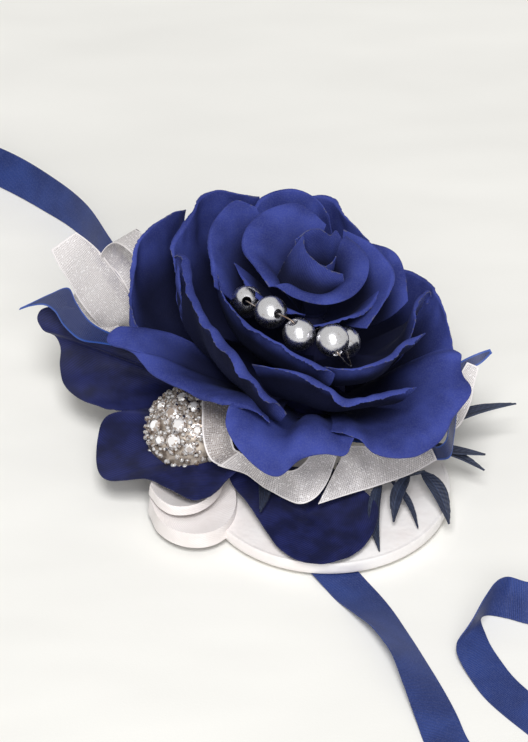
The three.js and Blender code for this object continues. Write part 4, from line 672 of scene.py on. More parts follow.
# Diamante: its middle, the way it faces and the outline of its dome
diamante_middle_shares = (-0.425, 0.09, 0.2)
diamante_facing_shares = (-0.25, -0.5, 0.83)
dome_shares = [[0, -0.2], [0.9, -0.2], [1, 0], [0.93, 0.35], [0.72, 0.7], [0.4, 0.93], [0, 1]]
# Where each bright stone sits on the dome and its radius, as shares of the dome's radius
stone_shares = [
    (-0.2, 0.2, 0.17), (-0.05, -0.12, 0.18), (-0.24, -0.44, 0.18), (0.03, 0.58, 0.14), (-0.48, 0.46, 0.12),
    (0.3, 0.28, 0.14), (-0.64, 0.02, 0.17), (0.34, -0.3, 0.14), (0.12, -0.66, 0.13), (-0.56, -0.34, 0.12),
]
# A stone's rings as shares of its radius: reach, height and turn in sides
stone_ring_shares = [(0.52, 0.42, 0), (0.8, 0.26, 0.5), (1, 0, 0)]
# A cup's rings: reach and height. A claw's levels: reach, height and width of its section
cup_shares = [(0.7, -0.55), (1, 0.05), (0.93, 0.05), (0.6, -0.5)]
claw_level_shares = [(1.05, -0.1, 0.8), (1.05, 0.2, 1), (0.85, 0.36, 0.8)]
claw_corners = [(-1, -1), (1, -1), (1, 1), (-1, 1)]
seed_size_shares = (0.05, 0.078)

# Borders of a leaf or bud fold that were cut
cut_borders = ["last_column", "first_row", "last_row"]


def linear(color):
    """A screen colour from 0 to 255 as linear light, with full cover."""
    shares = [value / 255 for value in color]
    light = [s / 12.92 if s <= 0.04045 else ((s + 0.055) / 1.055) ** 2.4 for s in shares]
    return (*light, 1.0)


def evenly(count):
    return [i / (count - 1) for i in range(count)]


def polar(angle, radius, height=0.0):
    """A place from an angle in radians, a distance from the axis and a height."""
    return Vector((math.cos(angle) * radius, math.sin(angle) * radius, height))


def in_spread(shares):
    """A place given as shares of SPREAD from the middle of the base."""
    return Vector(shares) * SPREAD


def in_rose(shares):
    """A place from azimuth, share of the rose's radius and share of its height."""
    azimuth, radius_share, height_share = shares
    return ROSE_FOOT + polar(math.radians(azimuth), radius_share * ROSE_RADIUS, height_share * ROSE_HEIGHT)


def facing(way, at):
    """The placing that turns +Z to a direction and moves the origin to a place."""
    turn = UP.rotation_difference(way.normalized())
    return Matrix.Translation(at) @ turn.to_matrix().to_4x4()


def smooth(points):
    """A centripetal Catmull-Rom curve through the points, as a function of 0 to 1."""
    before = points[0] * 2 - points[1]
    after = points[-1] * 2 - points[-2]
    line = [before, *points, after]

    def at(t):
        place = t * (len(points) - 1)
        i = min(int(place), len(points) - 2)
        w = place - i
        p0, p1, p2, p3 = line[i:i + 4]
        d0, d1, d2 = (max((b - a).length ** 0.5, KNOT_LEAST) for a, b in ((p0, p1), (p1, p2), (p2, p3)))
        m1 = ((p1 - p0) / d0 - (p2 - p0) / (d0 + d1) + (p2 - p1) / d1) * d1
        m2 = ((p2 - p1) / d1 - (p3 - p1) / (d1 + d2) + (p3 - p2) / d2) * d1
        return (
            p1 * (2 * w ** 3 - 3 * w ** 2 + 1)
            + m1 * (w ** 3 - 2 * w ** 2 + w)
            + p2 * (3 * w ** 2 - 2 * w ** 3)
            + m2 * (w ** 3 - w ** 2)
        )

    return at


def straight(points):
    """The points joined by straight lines, as a function of 0 to 1."""
    def at(t):
        place = t * (len(points) - 1)
        i = min(int(place), len(points) - 2)
        return points[i].lerp(points[i + 1], place - i)

    return at


def bezier(a, b, c, d, t):
    s = 1 - t
    return s ** 3 * a + 3 * s * s * t * b + 3 * s * t * t * c + t ** 3 * d


def running_lengths(points):
    lengths = [0.0]
    for a, b in zip(points, points[1:]):
        lengths.append(lengths[-1] + (b - a).length)
    return lengths


def grid_normals(grid):
    """A unit normal for each point of a grid."""
    rows, columns = len(grid), len(grid[0])
    normals = []
    for i in range(rows):
        row = []
        for j in range(columns):
            along_row = grid[i][min(j + 1, columns - 1)] - grid[i][max(j - 1, 0)]
            along_column = grid[min(i + 1, rows - 1)][j] - grid[max(i - 1, 0)][j]
            row.append(along_row.cross(along_column).normalized())
        normals.append(row)
    return normals


def ruffled(grid, depth, wave, weight):
    """Pushes a grid in and out along its normals by smooth noise, more where weight(i, j) is more."""
    normals = grid_normals(grid)
    return [
        [
            point + normals[i][j] * (noise.noise(point / wave) * depth * weight(i, j))
            for j, point in enumerate(row)
        ]
        for i, row in enumerate(grid)
    ]


def edge_distances(grid, borders):
    """How far each point of a grid is from the nearest of the named borders."""
    by_row = [running_lengths(row) for row in grid]
    by_column = [running_lengths(column) for column in zip(*grid)]
    distances = []
    for i, lengths in enumerate(by_row):
        for j, length in enumerate(lengths):
            found = {
                "first_column": length,
                "last_column": lengths[-1] - length,
                "first_row": by_column[j][i],
                "last_row": by_column[j][-1] - by_column[j][i],
            }
            distances.append(min(found[border] for border in borders))
    return distances


def flipped(face):
    return (face[0], *face[:0:-1])


def band_faces(low, high, sides):
    """Faces between two rings of points that start at the numbers low and high."""
    faces = []
    for k in range(sides):
        around = (k + 1) % sides
        faces.append((low + k, low + around, high + around, high + k))
    return faces


def new_mesh(name, points, faces, smooth_count=0):
    """A mesh of which the first smooth_count faces are shaded smooth."""
    mesh = bpy.data.meshes.new(name)
    mesh.from_pydata(points, [], faces)
    mesh.polygons.foreach_set("use_smooth", [k < smooth_count for k in range(len(faces))])
    return mesh


def add_object(name, data):
    made = bpy.data.objects.new(name, data)
    bpy.context.scene.collection.objects.link(made)
    return made


def add_piece(name, mesh, material, replaced=(), rides=BODY):
    """Adds a mesh as a piece that rides on a body, in place of the CAD nodes that it replaces."""
    mesh.materials.append(material)
    piece = add_object(name, mesh)
    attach(piece, rides)
    if replaced:
        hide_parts(*replaced)
    return piece


def add_sheet(name, grid, thickness, material, borders, replaced=(), reach=1.0):
    """A closed sheet of even thickness round a grid of points, with its cloth lengths as UVs.

    The attribute edge holds the distance in metres to the nearest cut or woven edge, across the
    share of the way along each row, over the last reach of 1, and back is 1 on the side that faces
    away from the normals. On petals, across sets the painted shade, which deepens towards the root.
    """
    rows, columns = len(grid), len(grid[0])
    normals = grid_normals(grid)
    points = []
    for sign in (1, -1):
        for row, normal_row in zip(grid, normals):
            points += [p + normal * (sign * thickness / 2) for p, normal in zip(row, normal_row)]
    below = rows * columns
    faces = []
    for i in range(rows - 1):
        for j in range(columns - 1):
            a = i * columns + j
            face = (a, a + 1, a + columns + 1, a + columns)
            faces.append(face)
            faces.append(tuple(v + below for v in flipped(face)))
    sheet_faces = len(faces)
    rim = list(range(columns))
    rim += [i * columns + columns - 1 for i in range(1, rows)]
    rim += [(rows - 1) * columns + j for j in range(columns - 2, -1, -1)]
    rim += [i * columns for i in range(rows - 2, 0, -1)]
    for a, b in zip(rim, rim[1:] + rim[:1]):
        faces.append((b, a, a + below, b + below))
    mesh = new_mesh(name, points, faces, sheet_faces)
    mesh.set_sharp_from_angle(angle=math.radians(SHARP_ANGLE))
    lengths_across = running_lengths([row[columns * 2 // 3] for row in grid])
    lengths_along = [running_lengths(row) for row in grid]
    uv = mesh.uv_layers.new(name="cloth")
    for loop in mesh.loops:
        i, j = divmod(loop.vertex_index % below, columns)
        uv.data[loop.index].uv = (lengths_across[i], lengths_along[i][j])
    values = {
        "edge": edge_distances(grid, borders) * 2,
        "across": [1 - (1 - s / row[-1]) * reach for row in lengths_along for s in row] * 2,
        "back": [0.0] * below + [1.0] * below,
    }
    for key, numbers in values.items():
        mesh.attributes.new(key, "FLOAT", "POINT").data.foreach_set("value", numbers)
    return add_piece(name, mesh, material, replaced)


def add_lathe(name, profile, material, replaced=(), place=Matrix(), sides=LATHE_SIDES, rides=BODY):
    """A round piece from pairs of radius and height. A profile that ends where it starts is a ring."""
    ring = profile[0] == profile[-1]
    rows = profile[:-1] if ring else profile
    points = []
    starts = []
    for radius, height in rows:
        starts.append(len(points))
        count = sides if radius > 0 else 1
        points += [place @ polar(2 * math.pi * k / sides, radius, height) for k in range(count)]
    faces = []
    for a in range(len(rows) if ring else len(rows) - 1):
        b = (a + 1) % len(rows)
        for low, low_next, high_next, high in band_faces(starts[a], starts[b], sides):
            lower = (low, low_next) if rows[a][0] > 0 else (starts[a],)
            upper = (high_next, high) if rows[b][0] > 0 else (starts[b],)
            faces.append((*lower, *upper))
    mesh = new_mesh(name, points, faces, len(faces))
    mesh.set_sharp_from_angle(angle=math.radians(SHARP_ANGLE))
    return add_piece(name, mesh, material, replaced, rides)


def tube_rings(path, radius):
    """Rings of points round a path, turned as little as possible from one to the next."""
    side = (path[1] - path[0]).normalized().orthogonal().normalized()
    rings = []
    for i, center in enumerate(path):
        ahead = (path[min(i + 1, len(path) - 1)] - path[max(i - 1, 0)]).normalized()
        side = (side - ahead * side.dot(ahead)).normalized()
        across = ahead.cross(side)
        for k in range(WIRE_SIDES):
            angle = 2 * math.pi * k / WIRE_SIDES
            rings.append(center + (side * math.cos(angle) + across * math.sin(angle)) * radius)
    return rings


def add_tube(name, path, radius, material, replaced):
    points = tube_rings(path, radius)
    last = len(points) - WIRE_SIDES
    faces = []
    for start in range(0, last, WIRE_SIDES):
        faces += band_faces(start, start + WIRE_SIDES, WIRE_SIDES)
    smooth_count = len(faces)
    faces.append(tuple(range(WIRE_SIDES - 1, -1, -1)))
    faces.append(tuple(range(last, last + WIRE_SIDES)))
    add_piece(name, new_mesh(name, points, faces, smooth_count), material, replaced)


class Nodes:
    """A node tree under construction."""

    def __init__(self, tree):
        self.tree = tree

    def set(self, socket, value):
        """Links a socket or sets a number or colour."""
        if isinstance(value, bpy.types.NodeSocket):
            self.tree.links.new(value, socket)
        else:
            socket.default_value = value

    def fill(self, made, values):
        """Sets a node's inputs by their names, with _ for a space."""
        for key, value in values.items():
            self.set(made.inputs[key.replace("_", " ")], value)

    def node(self, kind, **values):
        made = self.tree.nodes.new(kind)
        self.fill(made, values)
        return made

    def math(self, operation, a, b, clamp=False):
        made = self.tree.nodes.new("ShaderNodeMath")
        made.operation = operation
        made.use_clamp = clamp
        self.set(made.inputs[0], a)
        self.set(made.inputs[1], b)
        return made.outputs[0]


class Shader(Nodes):
    """A material under construction. The values are inputs of its Principled shader."""

    def __init__(self, name, **values):
        self.material = bpy.data.materials.new(name)
        self.material.use_nodes = True
        super().__init__(self.material.node_tree)
        self.bsdf = self.tree.nodes["Principled BSDF"]
        self.fill(self.bsdf, values)
        self.place = self.node("ShaderNodeTexCoord").outputs["Object"]

    def cloth_lengths(self):
        """The cloth's own lengths in metres, across and along."""
        made = self.node("ShaderNodeUVMap")
        made.uv_map = "cloth"
        return made.outputs["UV"]

    def mesh_value(self, name):
        made = self.node("ShaderNodeAttribute")
        made.attribute_name = name
        return made.outputs["Fac"]

    def spots(self, size, detail=SPOT_DETAIL, vector=None):
        """Soft noise whose spots are about size metres across, from 0 to 1."""
        place = self.place if vector is None else vector
        return self.node("ShaderNodeTexNoise", Vector=place, Scale=1 / size, Detail=detail).outputs["Fac"]

    def threads(self, vector, spacing, direction, wobble):
        """Even ridges spacing metres apart, from 0 to 1."""
        made = self.node(
            "ShaderNodeTexWave", Vector=vector, Scale=2 * math.pi / (WAVE_UNIT * spacing),
            Distortion=wobble, Detail=THREAD_DETAIL,
        )
        made.bands_direction = direction
        return made.outputs["Fac"]

    def ramp(self, value, span, results=(0.0, 1.0)):
        """Maps a span onto two results, smoothly and held at the ends."""
        made = self.tree.nodes.new("ShaderNodeMapRange")
        made.interpolation_type = "SMOOTHSTEP"
        inputs = ("Value", "From Min", "From Max", "To Min", "To Max")
        for key, number in zip(inputs, (value, *span, *results)):
            self.set(made.inputs[key], number)
        return made.outputs["Result"]

    def mix(self, share, a, b):
        """A colour from a at share 0 to b at share 1. Each is a socket or a screen colour."""
        made = self.tree.nodes.new("ShaderNodeMix")
        made.data_type = "RGBA"
        self.set(made.inputs["Factor"], share)
        for number, color in zip(MIX_COLOR_INPUTS, (a, b)):
            self.set(made.inputs[number], linear(color) if isinstance(color, tuple) else color)
        return made.outputs[MIX_COLOR_OUTPUT]

    def mottled(self, spots, shade, color):
        return self.mix(self.ramp(spots, MOTTLE_SPAN), shade, color)

    def tinted(self, color, tint, mask, tone):
        """The colour, with a tint over it where the mask is, as strongly as tone says."""
        return self.mix(self.math("MULTIPLY", mask, tone), color, tint)

    def relief(self, *layers):
        """Bumps one over the other, each from heights of 0 to 1, their depth and how much of it shows."""
        normal = None
        for height, depth, strength in layers:
            made = self.node("ShaderNodeBump", Height=height, Distance=depth, Strength=strength)
            if normal is not None:
                self.set(made.inputs["Normal"], normal)
            normal = made.outputs["Normal"]
        return normal

    def finish(self, **values):
        self.fill(self.bsdf, values)
        return self.material


def petal_material():
    """Matt pressed cloth: mottled, ribbed at the back, frayed at its cut edge, and painted darker towards
    the heart as painted shade among the petals.
    """
    shader = Shader(
        "petal_cloth", Roughness=PETAL_ROUGHNESS, Specular_IOR_Level=PETAL_SPECULAR,
        Sheen_Weight=PETAL_SHEEN, Sheen_Roughness=PETAL_SHEEN_ROUGHNESS, Sheen_Tint=linear(PETAL_EDGE),
    )
    nap = shader.spots(THREAD_SPACING)
    ribs = shader.threads(shader.cloth_lengths(), RIB_SPACING, "DIAGONAL", RIB_WOBBLE)
    ribs = shader.math("MULTIPLY", ribs, shader.mesh_value("back"))
    color = shader.mottled(shader.spots(PETAL_CLOUD), PETAL_SHADE, PETAL_BLUE)
    color = shader.mix(shader.ramp(nap, PETAL_NAP_SPAN, (0.0, PETAL_NAP_TONE)), color, PETAL_EDGE)
    color = shader.tinted(color, PETAL_RIB_NAVY_AND_PAINTED_SHADE, ribs, PETAL_RIB_TONE)
    # Painted shade: each petal is painted darker towards its root, where the petals shade one another
    painted_shade = shader.ramp(shader.mesh_value("across"), PAINTED_SHADE_SPAN, (PAINTED_SHADE_TONE, 0.0))
    color = shader.mix(painted_shade, color, PETAL_RIB_NAVY_AND_PAINTED_SHADE)
    fray = shader.math("MULTIPLY", shader.ramp(shader.spots(FRAY_LENGTH), FRAY_SPAN), FRAY_WIDTH)
    bare = shader.math("LESS_THAN", shader.mesh_value("edge"), fray)
    creases = shader.spots(PETAL_CREASE, CREASE_DETAIL)
    return shader.finish(
        Base_Color=shader.tinted(color, PETAL_FRAY, bare, FRAY_TONE),
        Normal=shader.relief(
            (creases, PETAL_CREASE_DEPTH, FAINT), (ribs, RIB_DEPTH, STRONG), (nap, PILE_DEPTH, FIRM),
        ),
    )


def satin_material(name, light, shade, roughness, sheen):
    """Satin: a fine diagonal weave and a soft gloss along it."""
    shader = Shader(
        name, Roughness=roughness, Specular_IOR_Level=SATIN_SPECULAR, Sheen_Weight=sheen,
        Anisotropic=SATIN_STRETCH,
    )
    weave = shader.threads(shader.cloth_lengths(), RIB_SPACING, "DIAGONAL", WEAVE_WOBBLE)
    broad = shader.spots(SATIN_CLOUD)
    nap = shader.spots(THREAD_SPACING)
    return shader.finish(
        Base_Color=shader.tinted(shader.mottled(broad, shade, light), shade, weave, WEAVE_TONE),
        Normal=shader.relief(
            (broad, SATIN_CREASE_DEPTH, SLIGHT), (weave, THREAD_DEPTH, FIRM), (nap, THREAD_DEPTH, MILD),
        ),
    )


def ribbon_material():
    """Tie ribbon: fine ribs across it, a thin woven edge and a soft gloss."""
    shader = Shader(
        "tie_ribbon", Roughness=TIE_ROUGHNESS, Specular_IOR_Level=SATIN_SPECULAR, Sheen_Weight=TIE_SHEEN,
    )
    ribs = shader.threads(shader.cloth_lengths(), RIBBON_RIB_SPACING, "X", RIB_WOBBLE)
    nap = shader.spots(THREAD_SPACING)
    color = shader.mottled(shader.spots(RIBBON_WIDTH), TIE_SHADE, TIE_BLUE)
    color = shader.tinted(color, LEAF_SHADE, ribs, TIE_RIB_TONE)
    hem = shader.ramp(shader.mesh_value("edge"), SELVEDGE_SPAN, (1.0, 0.0))
    return shader.finish(
        Base_Color=shader.mix(shader.ramp(nap, TIE_NAP_SPAN, (0.0, TIE_NAP_TONE)), color, PETAL_EDGE),
        Normal=shader.relief(
            (ribs, THREAD_DEPTH, STRONG), (nap, THREAD_DEPTH, MILD), (hem, THREAD_DEPTH, SLIGHT),
        ),
    )


def sheer_material(name, color, shade, hem_color, cover, sparkle):
    """Organza: a fine open mesh, denser at its woven edges, with small painted glints of light on its
    threads.
    """
    shader = Shader(
        name, Roughness=SHEER_ROUGHNESS, Specular_IOR_Level=SHEER_SPECULAR, Sheen_Weight=SHEER_SHEEN,
    )
    cloth = shader.cloth_lengths()
    warp, weft = (shader.threads(cloth, MESH_SPACING, way, MESH_WOBBLE) for way in ("X", "Y"))
    mesh = shader.math("MAXIMUM", warp, weft)
    # Painted glints: small bright specks painted into the colour, standing in for light glinting off the
    # threads; they also thicken the cover
    glint = shader.ramp(shader.spots(MESH_SPACING, 0.0), GLINT_SPAN)
    hem = shader.ramp(shader.mesh_value("edge"), SELVEDGE_SPAN, (1.0, 0.0))
    base = shader.mix(shader.ramp(mesh, MESH_SPAN), shade, color)
    base = shader.tinted(base, STONE_BRIGHT, glint, sparkle)
    threads = shader.ramp(mesh, COVER_SPAN, (cover - COVER_DROP, cover + COVER_RISE))
    cloud = shader.ramp(shader.spots(SHEER_CLOUD), MOTTLE_SPAN, (-COVER_RISE, COVER_RISE))
    threads = shader.math("ADD", threads, cloud)
    threads = shader.math("ADD", threads, shader.math("MULTIPLY", glint, sparkle))
    return shader.finish(
        Base_Color=shader.mix(hem, base, hem_color),
        Normal=shader.relief((mesh, THREAD_DEPTH, STRONG)),
        Alpha=shader.math("MAXIMUM", threads, shader.math("MULTIPLY", hem, HEM_COVER), clamp=True),
    )


def plain_material(name, color, shade, grain, roughness, metallic, strength):
    """A mottled, finely uneven surface, such as card, felt, glue or moulded plastic."""
    shader = Shader(name, Roughness=roughness, Metallic=metallic)
    return shader.finish(
        Base_Color=shader.mottled(shader.spots(grain), shade, color),
        Normal=shader.relief(
            (shader.spots(grain * FINE_GRAIN_SHARE), grain * GRAIN_DEPTH_SHARE, strength),
        ),
    )


def silver_material():
    """Bright plating with fine scuffs and darker marks."""
    shader = Shader("silver_bead", Roughness=SILVER_ROUGHNESS, Metallic=1.0)
    marks = shader.spots(SILVER_MARK)
    roughnesses = (SILVER_BRIGHT_ROUGHNESS, SILVER_SCUFF_ROUGHNESS)
    return shader.finish(
        Base_Color=shader.mix(shader.ramp(marks, MARK_SPAN, (0.0, MARK_TONE)), SILVER, STONE_DARK),
        Roughness=shader.ramp(shader.spots(SILVER_SCUFF), MOTTLE_SPAN, roughnesses),
        Normal=shader.relief((marks, SILVER_MARK_DEPTH, MILD)),
    )


def seed_material():
    """Clear glass seed beads over the plate, with brown patches painted on as reflections."""
    shader = Shader("glass_seed", Roughness=STONE_ROUGHNESS, Transmission_Weight=SEED_TRANSMISSION)
    # Painted reflection: brown patches painted over the clear glass, standing in for the brown reflections
    # seen in it
    painted_reflection = shader.ramp(shader.spots(SEED_REFLECTION_PATCH), SEED_REFLECTION_SPAN)
    return shader.finish(Base_Color=shader.mix(painted_reflection, STONE_BRIGHT, STONE_DARK))


def stone_material():
    """Foil-backed clear stones: each facet is painted a random share from dark to bright, as a painted
    reflection of light and shade.
    """
    shader = Shader(
        "clear_stone", Roughness=STONE_ROUGHNESS, Metallic=STONE_METALLIC, Coat_Weight=1.0,
        Coat_Roughness=STONE_COAT_ROUGHNESS,
    )
    return shader.finish(Base_Color=shader.mix(shader.mesh_value("facet"), STONE_DARK, STONE_BRIGHT))


def sprig_material():
    """Dark stiffened leaf: a pale centre rib, barbs running out from it, and paler streaks and patches."""
    shader = Shader("sprig_leaf", Roughness=SPRIG_ROUGHNESS, Specular_IOR_Level=SPRIG_SPECULAR)
    barbs = shader.threads(shader.cloth_lengths(), COARSE_SPACING, "DIAGONAL", BARB_WOBBLE)
    across = shader.mesh_value("across")
    middle = shader.math("ABSOLUTE", shader.math("SUBTRACT", across, 0.5), 0.0)
    streaks = shader.threads(across, STREAK_SPACING, "X", STREAK_WOBBLE)
    patches = shader.ramp(shader.spots(SHEER_CLOUD), PATCH_SPAN, (0.0, PATCH_TONE))
    color = shader.mix(patches, SPRIG_DARK, SPRIG_PALE)
    color = shader.tinted(color, SPRIG_PALE, streaks, STREAK_TONE)
    color = shader.mix(shader.ramp(middle, SPINE_SPAN, (SPINE_TONE, 0.0)), color, SPRIG_PALE)
    return shader.finish(
        Base_Color=shader.tinted(color, SPRIG_DARK, barbs, BARB_TONE),
        Normal=shader.relief((barbs, PILE_DEPTH, STRONG)),
    )


def make_materials():
    made = {name: plain_material(name, *look) for name, look in plain_looks.items()}
    made.update({name: sheer_material(name, *look) for name, look in sheer_looks.items()})
    made.update({name: satin_material(name, *look) for name, look in satin_looks.items()})
    made["petal_cloth"] = petal_material()
    made["tie_ribbon"] = ribbon_material()
    made["sprig_leaf"] = sprig_material()
    made["silver_bead"] = silver_material()
    made["clear_stone"] = stone_material()
    made["glass_seed"] = seed_material()
    return made


def add_base(materials):
    """Satin cover and rim band of the round base. The card and felt are the CAD's own."""
    low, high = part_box("base_satin_cover")
    inner, thickness = high.x, high.z - low.z
    cover = [
        (0, low.z), (inner, low.z), (inner, high.z - thickness / 3), (inner - thickness, high.z),
        (inner / 2, high.z), (0, high.z),
    ]
    add_lathe("satin_cover", cover, materials["base_satin"], ["base_satin_cover"])
    low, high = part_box("base_rim_band")
    dent = (BASE_RADIUS - inner) * RIM_BULGE_SHARE
    outline = [
        (BASE_RADIUS - dent * (1 - share), low.z + (high.z - low.z) * t)
        for share, t in zip(rim_bulge_shares, evenly(len(rim_bulge_shares)))
    ]
    band = [(inner, low.z), *outline, (inner, high.z), (inner, low.z)]
    add_lathe("rim_band", band, materials["rim_ribbon"], ["base_rim_band"])
    for node, finish in {"backing_felt": "felt", "base_card": "card", "glue_mound": "glue"}.items():
        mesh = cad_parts[node].data
        mesh.materials.clear()
        mesh.materials.append(materials[finish])


def core_radius(height):
    """Radius of the rose core at a height: the hub below, the bud core above."""
    up = (height - HUB_BOTTOM) / HUB_HEIGHT
    for (radius, start), (next_radius, end) in zip(hub_shares, hub_shares[1:]):
        if start <= up < end:
            return HUB_RADIUS * (radius + (next_radius - radius) * (up - start) / (end - start))
    return BUD_CORE_RADIUS


def add_rose_core(materials):
    """The moulded hip under the rose and the rolled end of cloth in the bud."""
    axis = Matrix.Translation(ROSE_FOOT)
    outline = [(r * HUB_RADIUS, HUB_BOTTOM + z * HUB_HEIGHT) for r, z in hub_shares]
    outline = [(0, HUB_BOTTOM), *outline, (0, HUB_BOTTOM + HUB_HEIGHT)]
    add_lathe("rose_stem", outline, materials["core"], ["rose_hub"], axis)
    # Painted shade: a dark disc in the hub's navy fills the gaps between the petals' roots, where only
    # shaded petals show
    inner = core_radius(SHADE_DISC_BOTTOM)
    top = SHADE_DISC_BOTTOM + SHADE_DISC_HEIGHT
    outline = [
        (inner, SHADE_DISC_BOTTOM), (SHADE_DISC_RADIUS, top), (SHADE_DISC_RADIUS, top + PETAL_THICKNESS),
        (inner, SHADE_DISC_BOTTOM + PETAL_THICKNESS), (inner, SHADE_DISC_BOTTOM),
    ]
    add_lathe("shade_filler_disc", outline, materials["core"], place=axis)
    grid = []
    for t in evenly(BUD_ROLL_STEPS):
        turns = t * BUD_ROLL_TURNS
        angle = math.radians(BUD_ROLL_START) - turns * 2 * math.pi
        foot = ROSE_FOOT + polar(angle, BUD_CORE_RADIUS * (1 - t / 2), BUD_BOTTOM)
        rise = BUD_ROLL_TOP - BUD_ROLL_DROP * min(1, turns) - BUD_BOTTOM
        head = foot + BUD_ROLL_LEAN + UP * rise
        grid.append([foot.lerp(head, up) for up in evenly(BUD_ROLL_ROWS)])
    add_sheet(
        "bud_roll", grid, PETAL_THICKNESS, materials["petal_cloth"], ["last_column", "first_row"],
        ["bud_core"], BUD_PAINTED_SHADE_REACH,
    )


def petal_grid(rank, turn, arc, bend, rim_shares):
    """A petal's cloth from its root on the core to its rim, as grid[ray][step]."""
    root_height = BUD_BOTTOM + BUD_CORE_HEIGHT - FIRST_ROOT_DROP - rank * ROOT_STEP
    root_radius = core_radius(root_height) + CLEARANCE
    rim = smooth([in_rose(place) for place in rim_shares])
    sense = math.copysign(1, rim_shares[-1][0] - rim_shares[0][0])
    grid = []
    for across in evenly(PETAL_RAYS)[::round(sense)]:
        edge = rim(across) - ROSE_FOOT
        reach = math.hypot(edge.x, edge.y)
        root_angle = math.radians(turn + sense * arc * (2 * across - 1))
        swing = math.atan2(edge.y, edge.x) - root_angle
        swing = math.atan2(math.sin(swing), math.cos(swing))
        hump = math.sin(math.pi * across) * ROSE_HEIGHT
        radii = [root_radius + (reach - root_radius) * share for share, _, _ in bend]
        heights = [root_height + (edge.z - root_height) * rise + lift * hump for _, rise, lift in bend]
        ray = []
        for t in evenly(PETAL_STEPS):
            radius = bezier(root_radius, *radii, reach, t)
            height = bezier(root_height, *heights, edge.z, t)
            ray.append(ROSE_FOOT + polar(root_angle + swing * t, radius, height))
        grid.append(ray)
    return grid


def spaced(row, lengths, places):
    """Points at the given distances along a row."""
    found = []
    i = 0
    for place in places:
        while i < len(row) - 2 and lengths[i + 1] < place:
            i += 1
        step = max(lengths[i + 1] - lengths[i], NICK_DEPTH)
        found.append(row[i].lerp(row[i + 1], (place - lengths[i]) / step))
    return found


def rolled_back(grid, width):
    """Rolls the rim of a petal over, away from the middle of the rose, and nicks its cut edge."""
    normals = grid_normals(grid)
    turn = math.radians(ROLL_ANGLE)
    inward = 0.0
    for row, normal in zip(grid, normals):
        away = row[-1] - ROSE_FOOT
        inward += normal[-3].dot(Vector((away.x, away.y, -ROSE_RADIUS)))
    sense = -1 if inward < 0 else 1
    rolled = []
    for i, row in enumerate(grid):
        lengths = running_lengths(row)
        rise = min(1.0, (i + 1) / len(grid) / ROLL_RISE, (len(grid) - i) / len(grid) / ROLL_FALL)
        radius = width * rise ** 2 * (1 + noise.noise(row[-1] / ROLL_WAVE)) / turn
        flat = lengths[-1] - radius
        new = spaced(row, lengths, [flat * share for share in evenly(len(row) - ROLL_STEPS)])
        along = (row[-1] - row[-3]).normalized()
        normal = normals[i][-3] * sense
        start = new[-1]
        for k in range(1, ROLL_STEPS + 1):
            angle = turn * k / ROLL_STEPS
            ahead = along * (radius * math.sin(angle))
            new.append(start + ahead + normal * (radius * (1 - math.cos(angle))))
        nick = noise.noise(new[-1] / NICK_LENGTH) * NICK_DEPTH * rise
        new[-1] += (new[-1] - new[-2]).normalized() * nick
        rolled.append(new)
    return rolled


def leaf_weight(i, j):
    return j / (LEAF_STEPS - 1)


def petal_weight(i, j):
    return (j / (PETAL_STEPS - 1)) ** 2


def strip_weight(i, j):
    return math.sin(math.pi * min(1.0, 2 * i / STRIP_STEPS))


def add_bud_folds(material):
    """The two folded petals in the middle, which close over the rolled core."""
    for name, rows in bud_fold_shares.items():
        grid = ruffled(strip_grid(rows, FOLD_ROWS, LEAF_STEPS, in_rose), FOLD_RUFFLE, FOLD_WAVE, leaf_weight)
        add_sheet(
            name + "_cloth", grid, PETAL_THICKNESS, material, cut_borders, [name], BUD_PAINTED_SHADE_REACH,
        )


def declare_cut(grid):
    """Sums the area of a petal's or leaf's grid; the sum is not used."""
    area = 0.0
    for low, high in zip(grid, grid[1:]):
        for a, b, c, d in zip(low, low[1:], high, high[1:]):
            area += area_tri(a, b, d) + area_tri(a, d, c)


def add_petals(material):
    for rank, (name, root, *bend, rim_shares) in enumerate(petal_shares, start=len(bud_fold_shares)):
        turn, arc, reach, roll = root
        depth = PETAL_RUFFLE * min(1.0, rank / FULL_RUFFLE_RANK)
        grid = ruffled(petal_grid(rank, turn, arc, bend, rim_shares), depth, PETAL_WAVE, petal_weight)
        grid = ruffled(grid, depth * FINE_RUFFLE_SHARE, PETAL_FINE_WAVE, petal_weight)
        grid = rolled_back(grid, PETAL_ROLL * roll)
        piece = add_sheet(
            name + "_cloth", grid, PETAL_THICKNESS, material, ["last_column"], [name], reach,
        )
        declare_cut(grid)


def leaf_grid(hump_share, root_shares, rim_shares):
    """A satin leaf from its root line to its outline, with a soft hump and a pressed centre fold."""
    root_a, root_b = (in_spread(place) for place in root_shares)
    rim = smooth([in_spread(place) for place in rim_shares])
    grid = []
    for across in evenly(LEAF_RAYS):
        edge = rim(across)
        root = root_a.lerp(root_b, across)
        fold = math.exp(-((across - 0.5) / LEAF_FOLD_SHARE) ** 2)
        hump = hump_share * SPREAD - fold * LEAF_FOLD_DEPTH
        grid.append([root.lerp(edge, t) + UP * (math.sin(math.pi * t) * hump) for t in evenly(LEAF_STEPS)])
    return grid


def add_leaves(material):
    for name, *shape in leaf_shares:
        grid = ruffled(leaf_grid(*shape), LEAF_RUFFLE, LEAF_WAVE, leaf_weight)
        grid = ruffled(grid, LEAF_FINE_RUFFLE, LEAF_FINE_WAVE, leaf_weight)
        piece = add_sheet(
            name + "_cloth", grid, LEAF_THICKNESS, material, cut_borders, [name],
        )
        declare_cut(grid)


def strip_grid(rows, steps, columns, place_of, join=smooth, extra=0.0):
    """A strip between two or three edge lines, as grid[step][column], with extra at its root."""
    edges = [smooth([place_of(row[k]) for row in rows]) for k in range(len(rows[0]))]
    grid = []
    for t in evenly(steps):
        cross = [edge(t * (1 + extra) - extra) for edge in edges]
        across = (join if len(cross) > 2 else straight)(cross)
        grid.append([across(s) for s in evenly(columns)])
    return grid


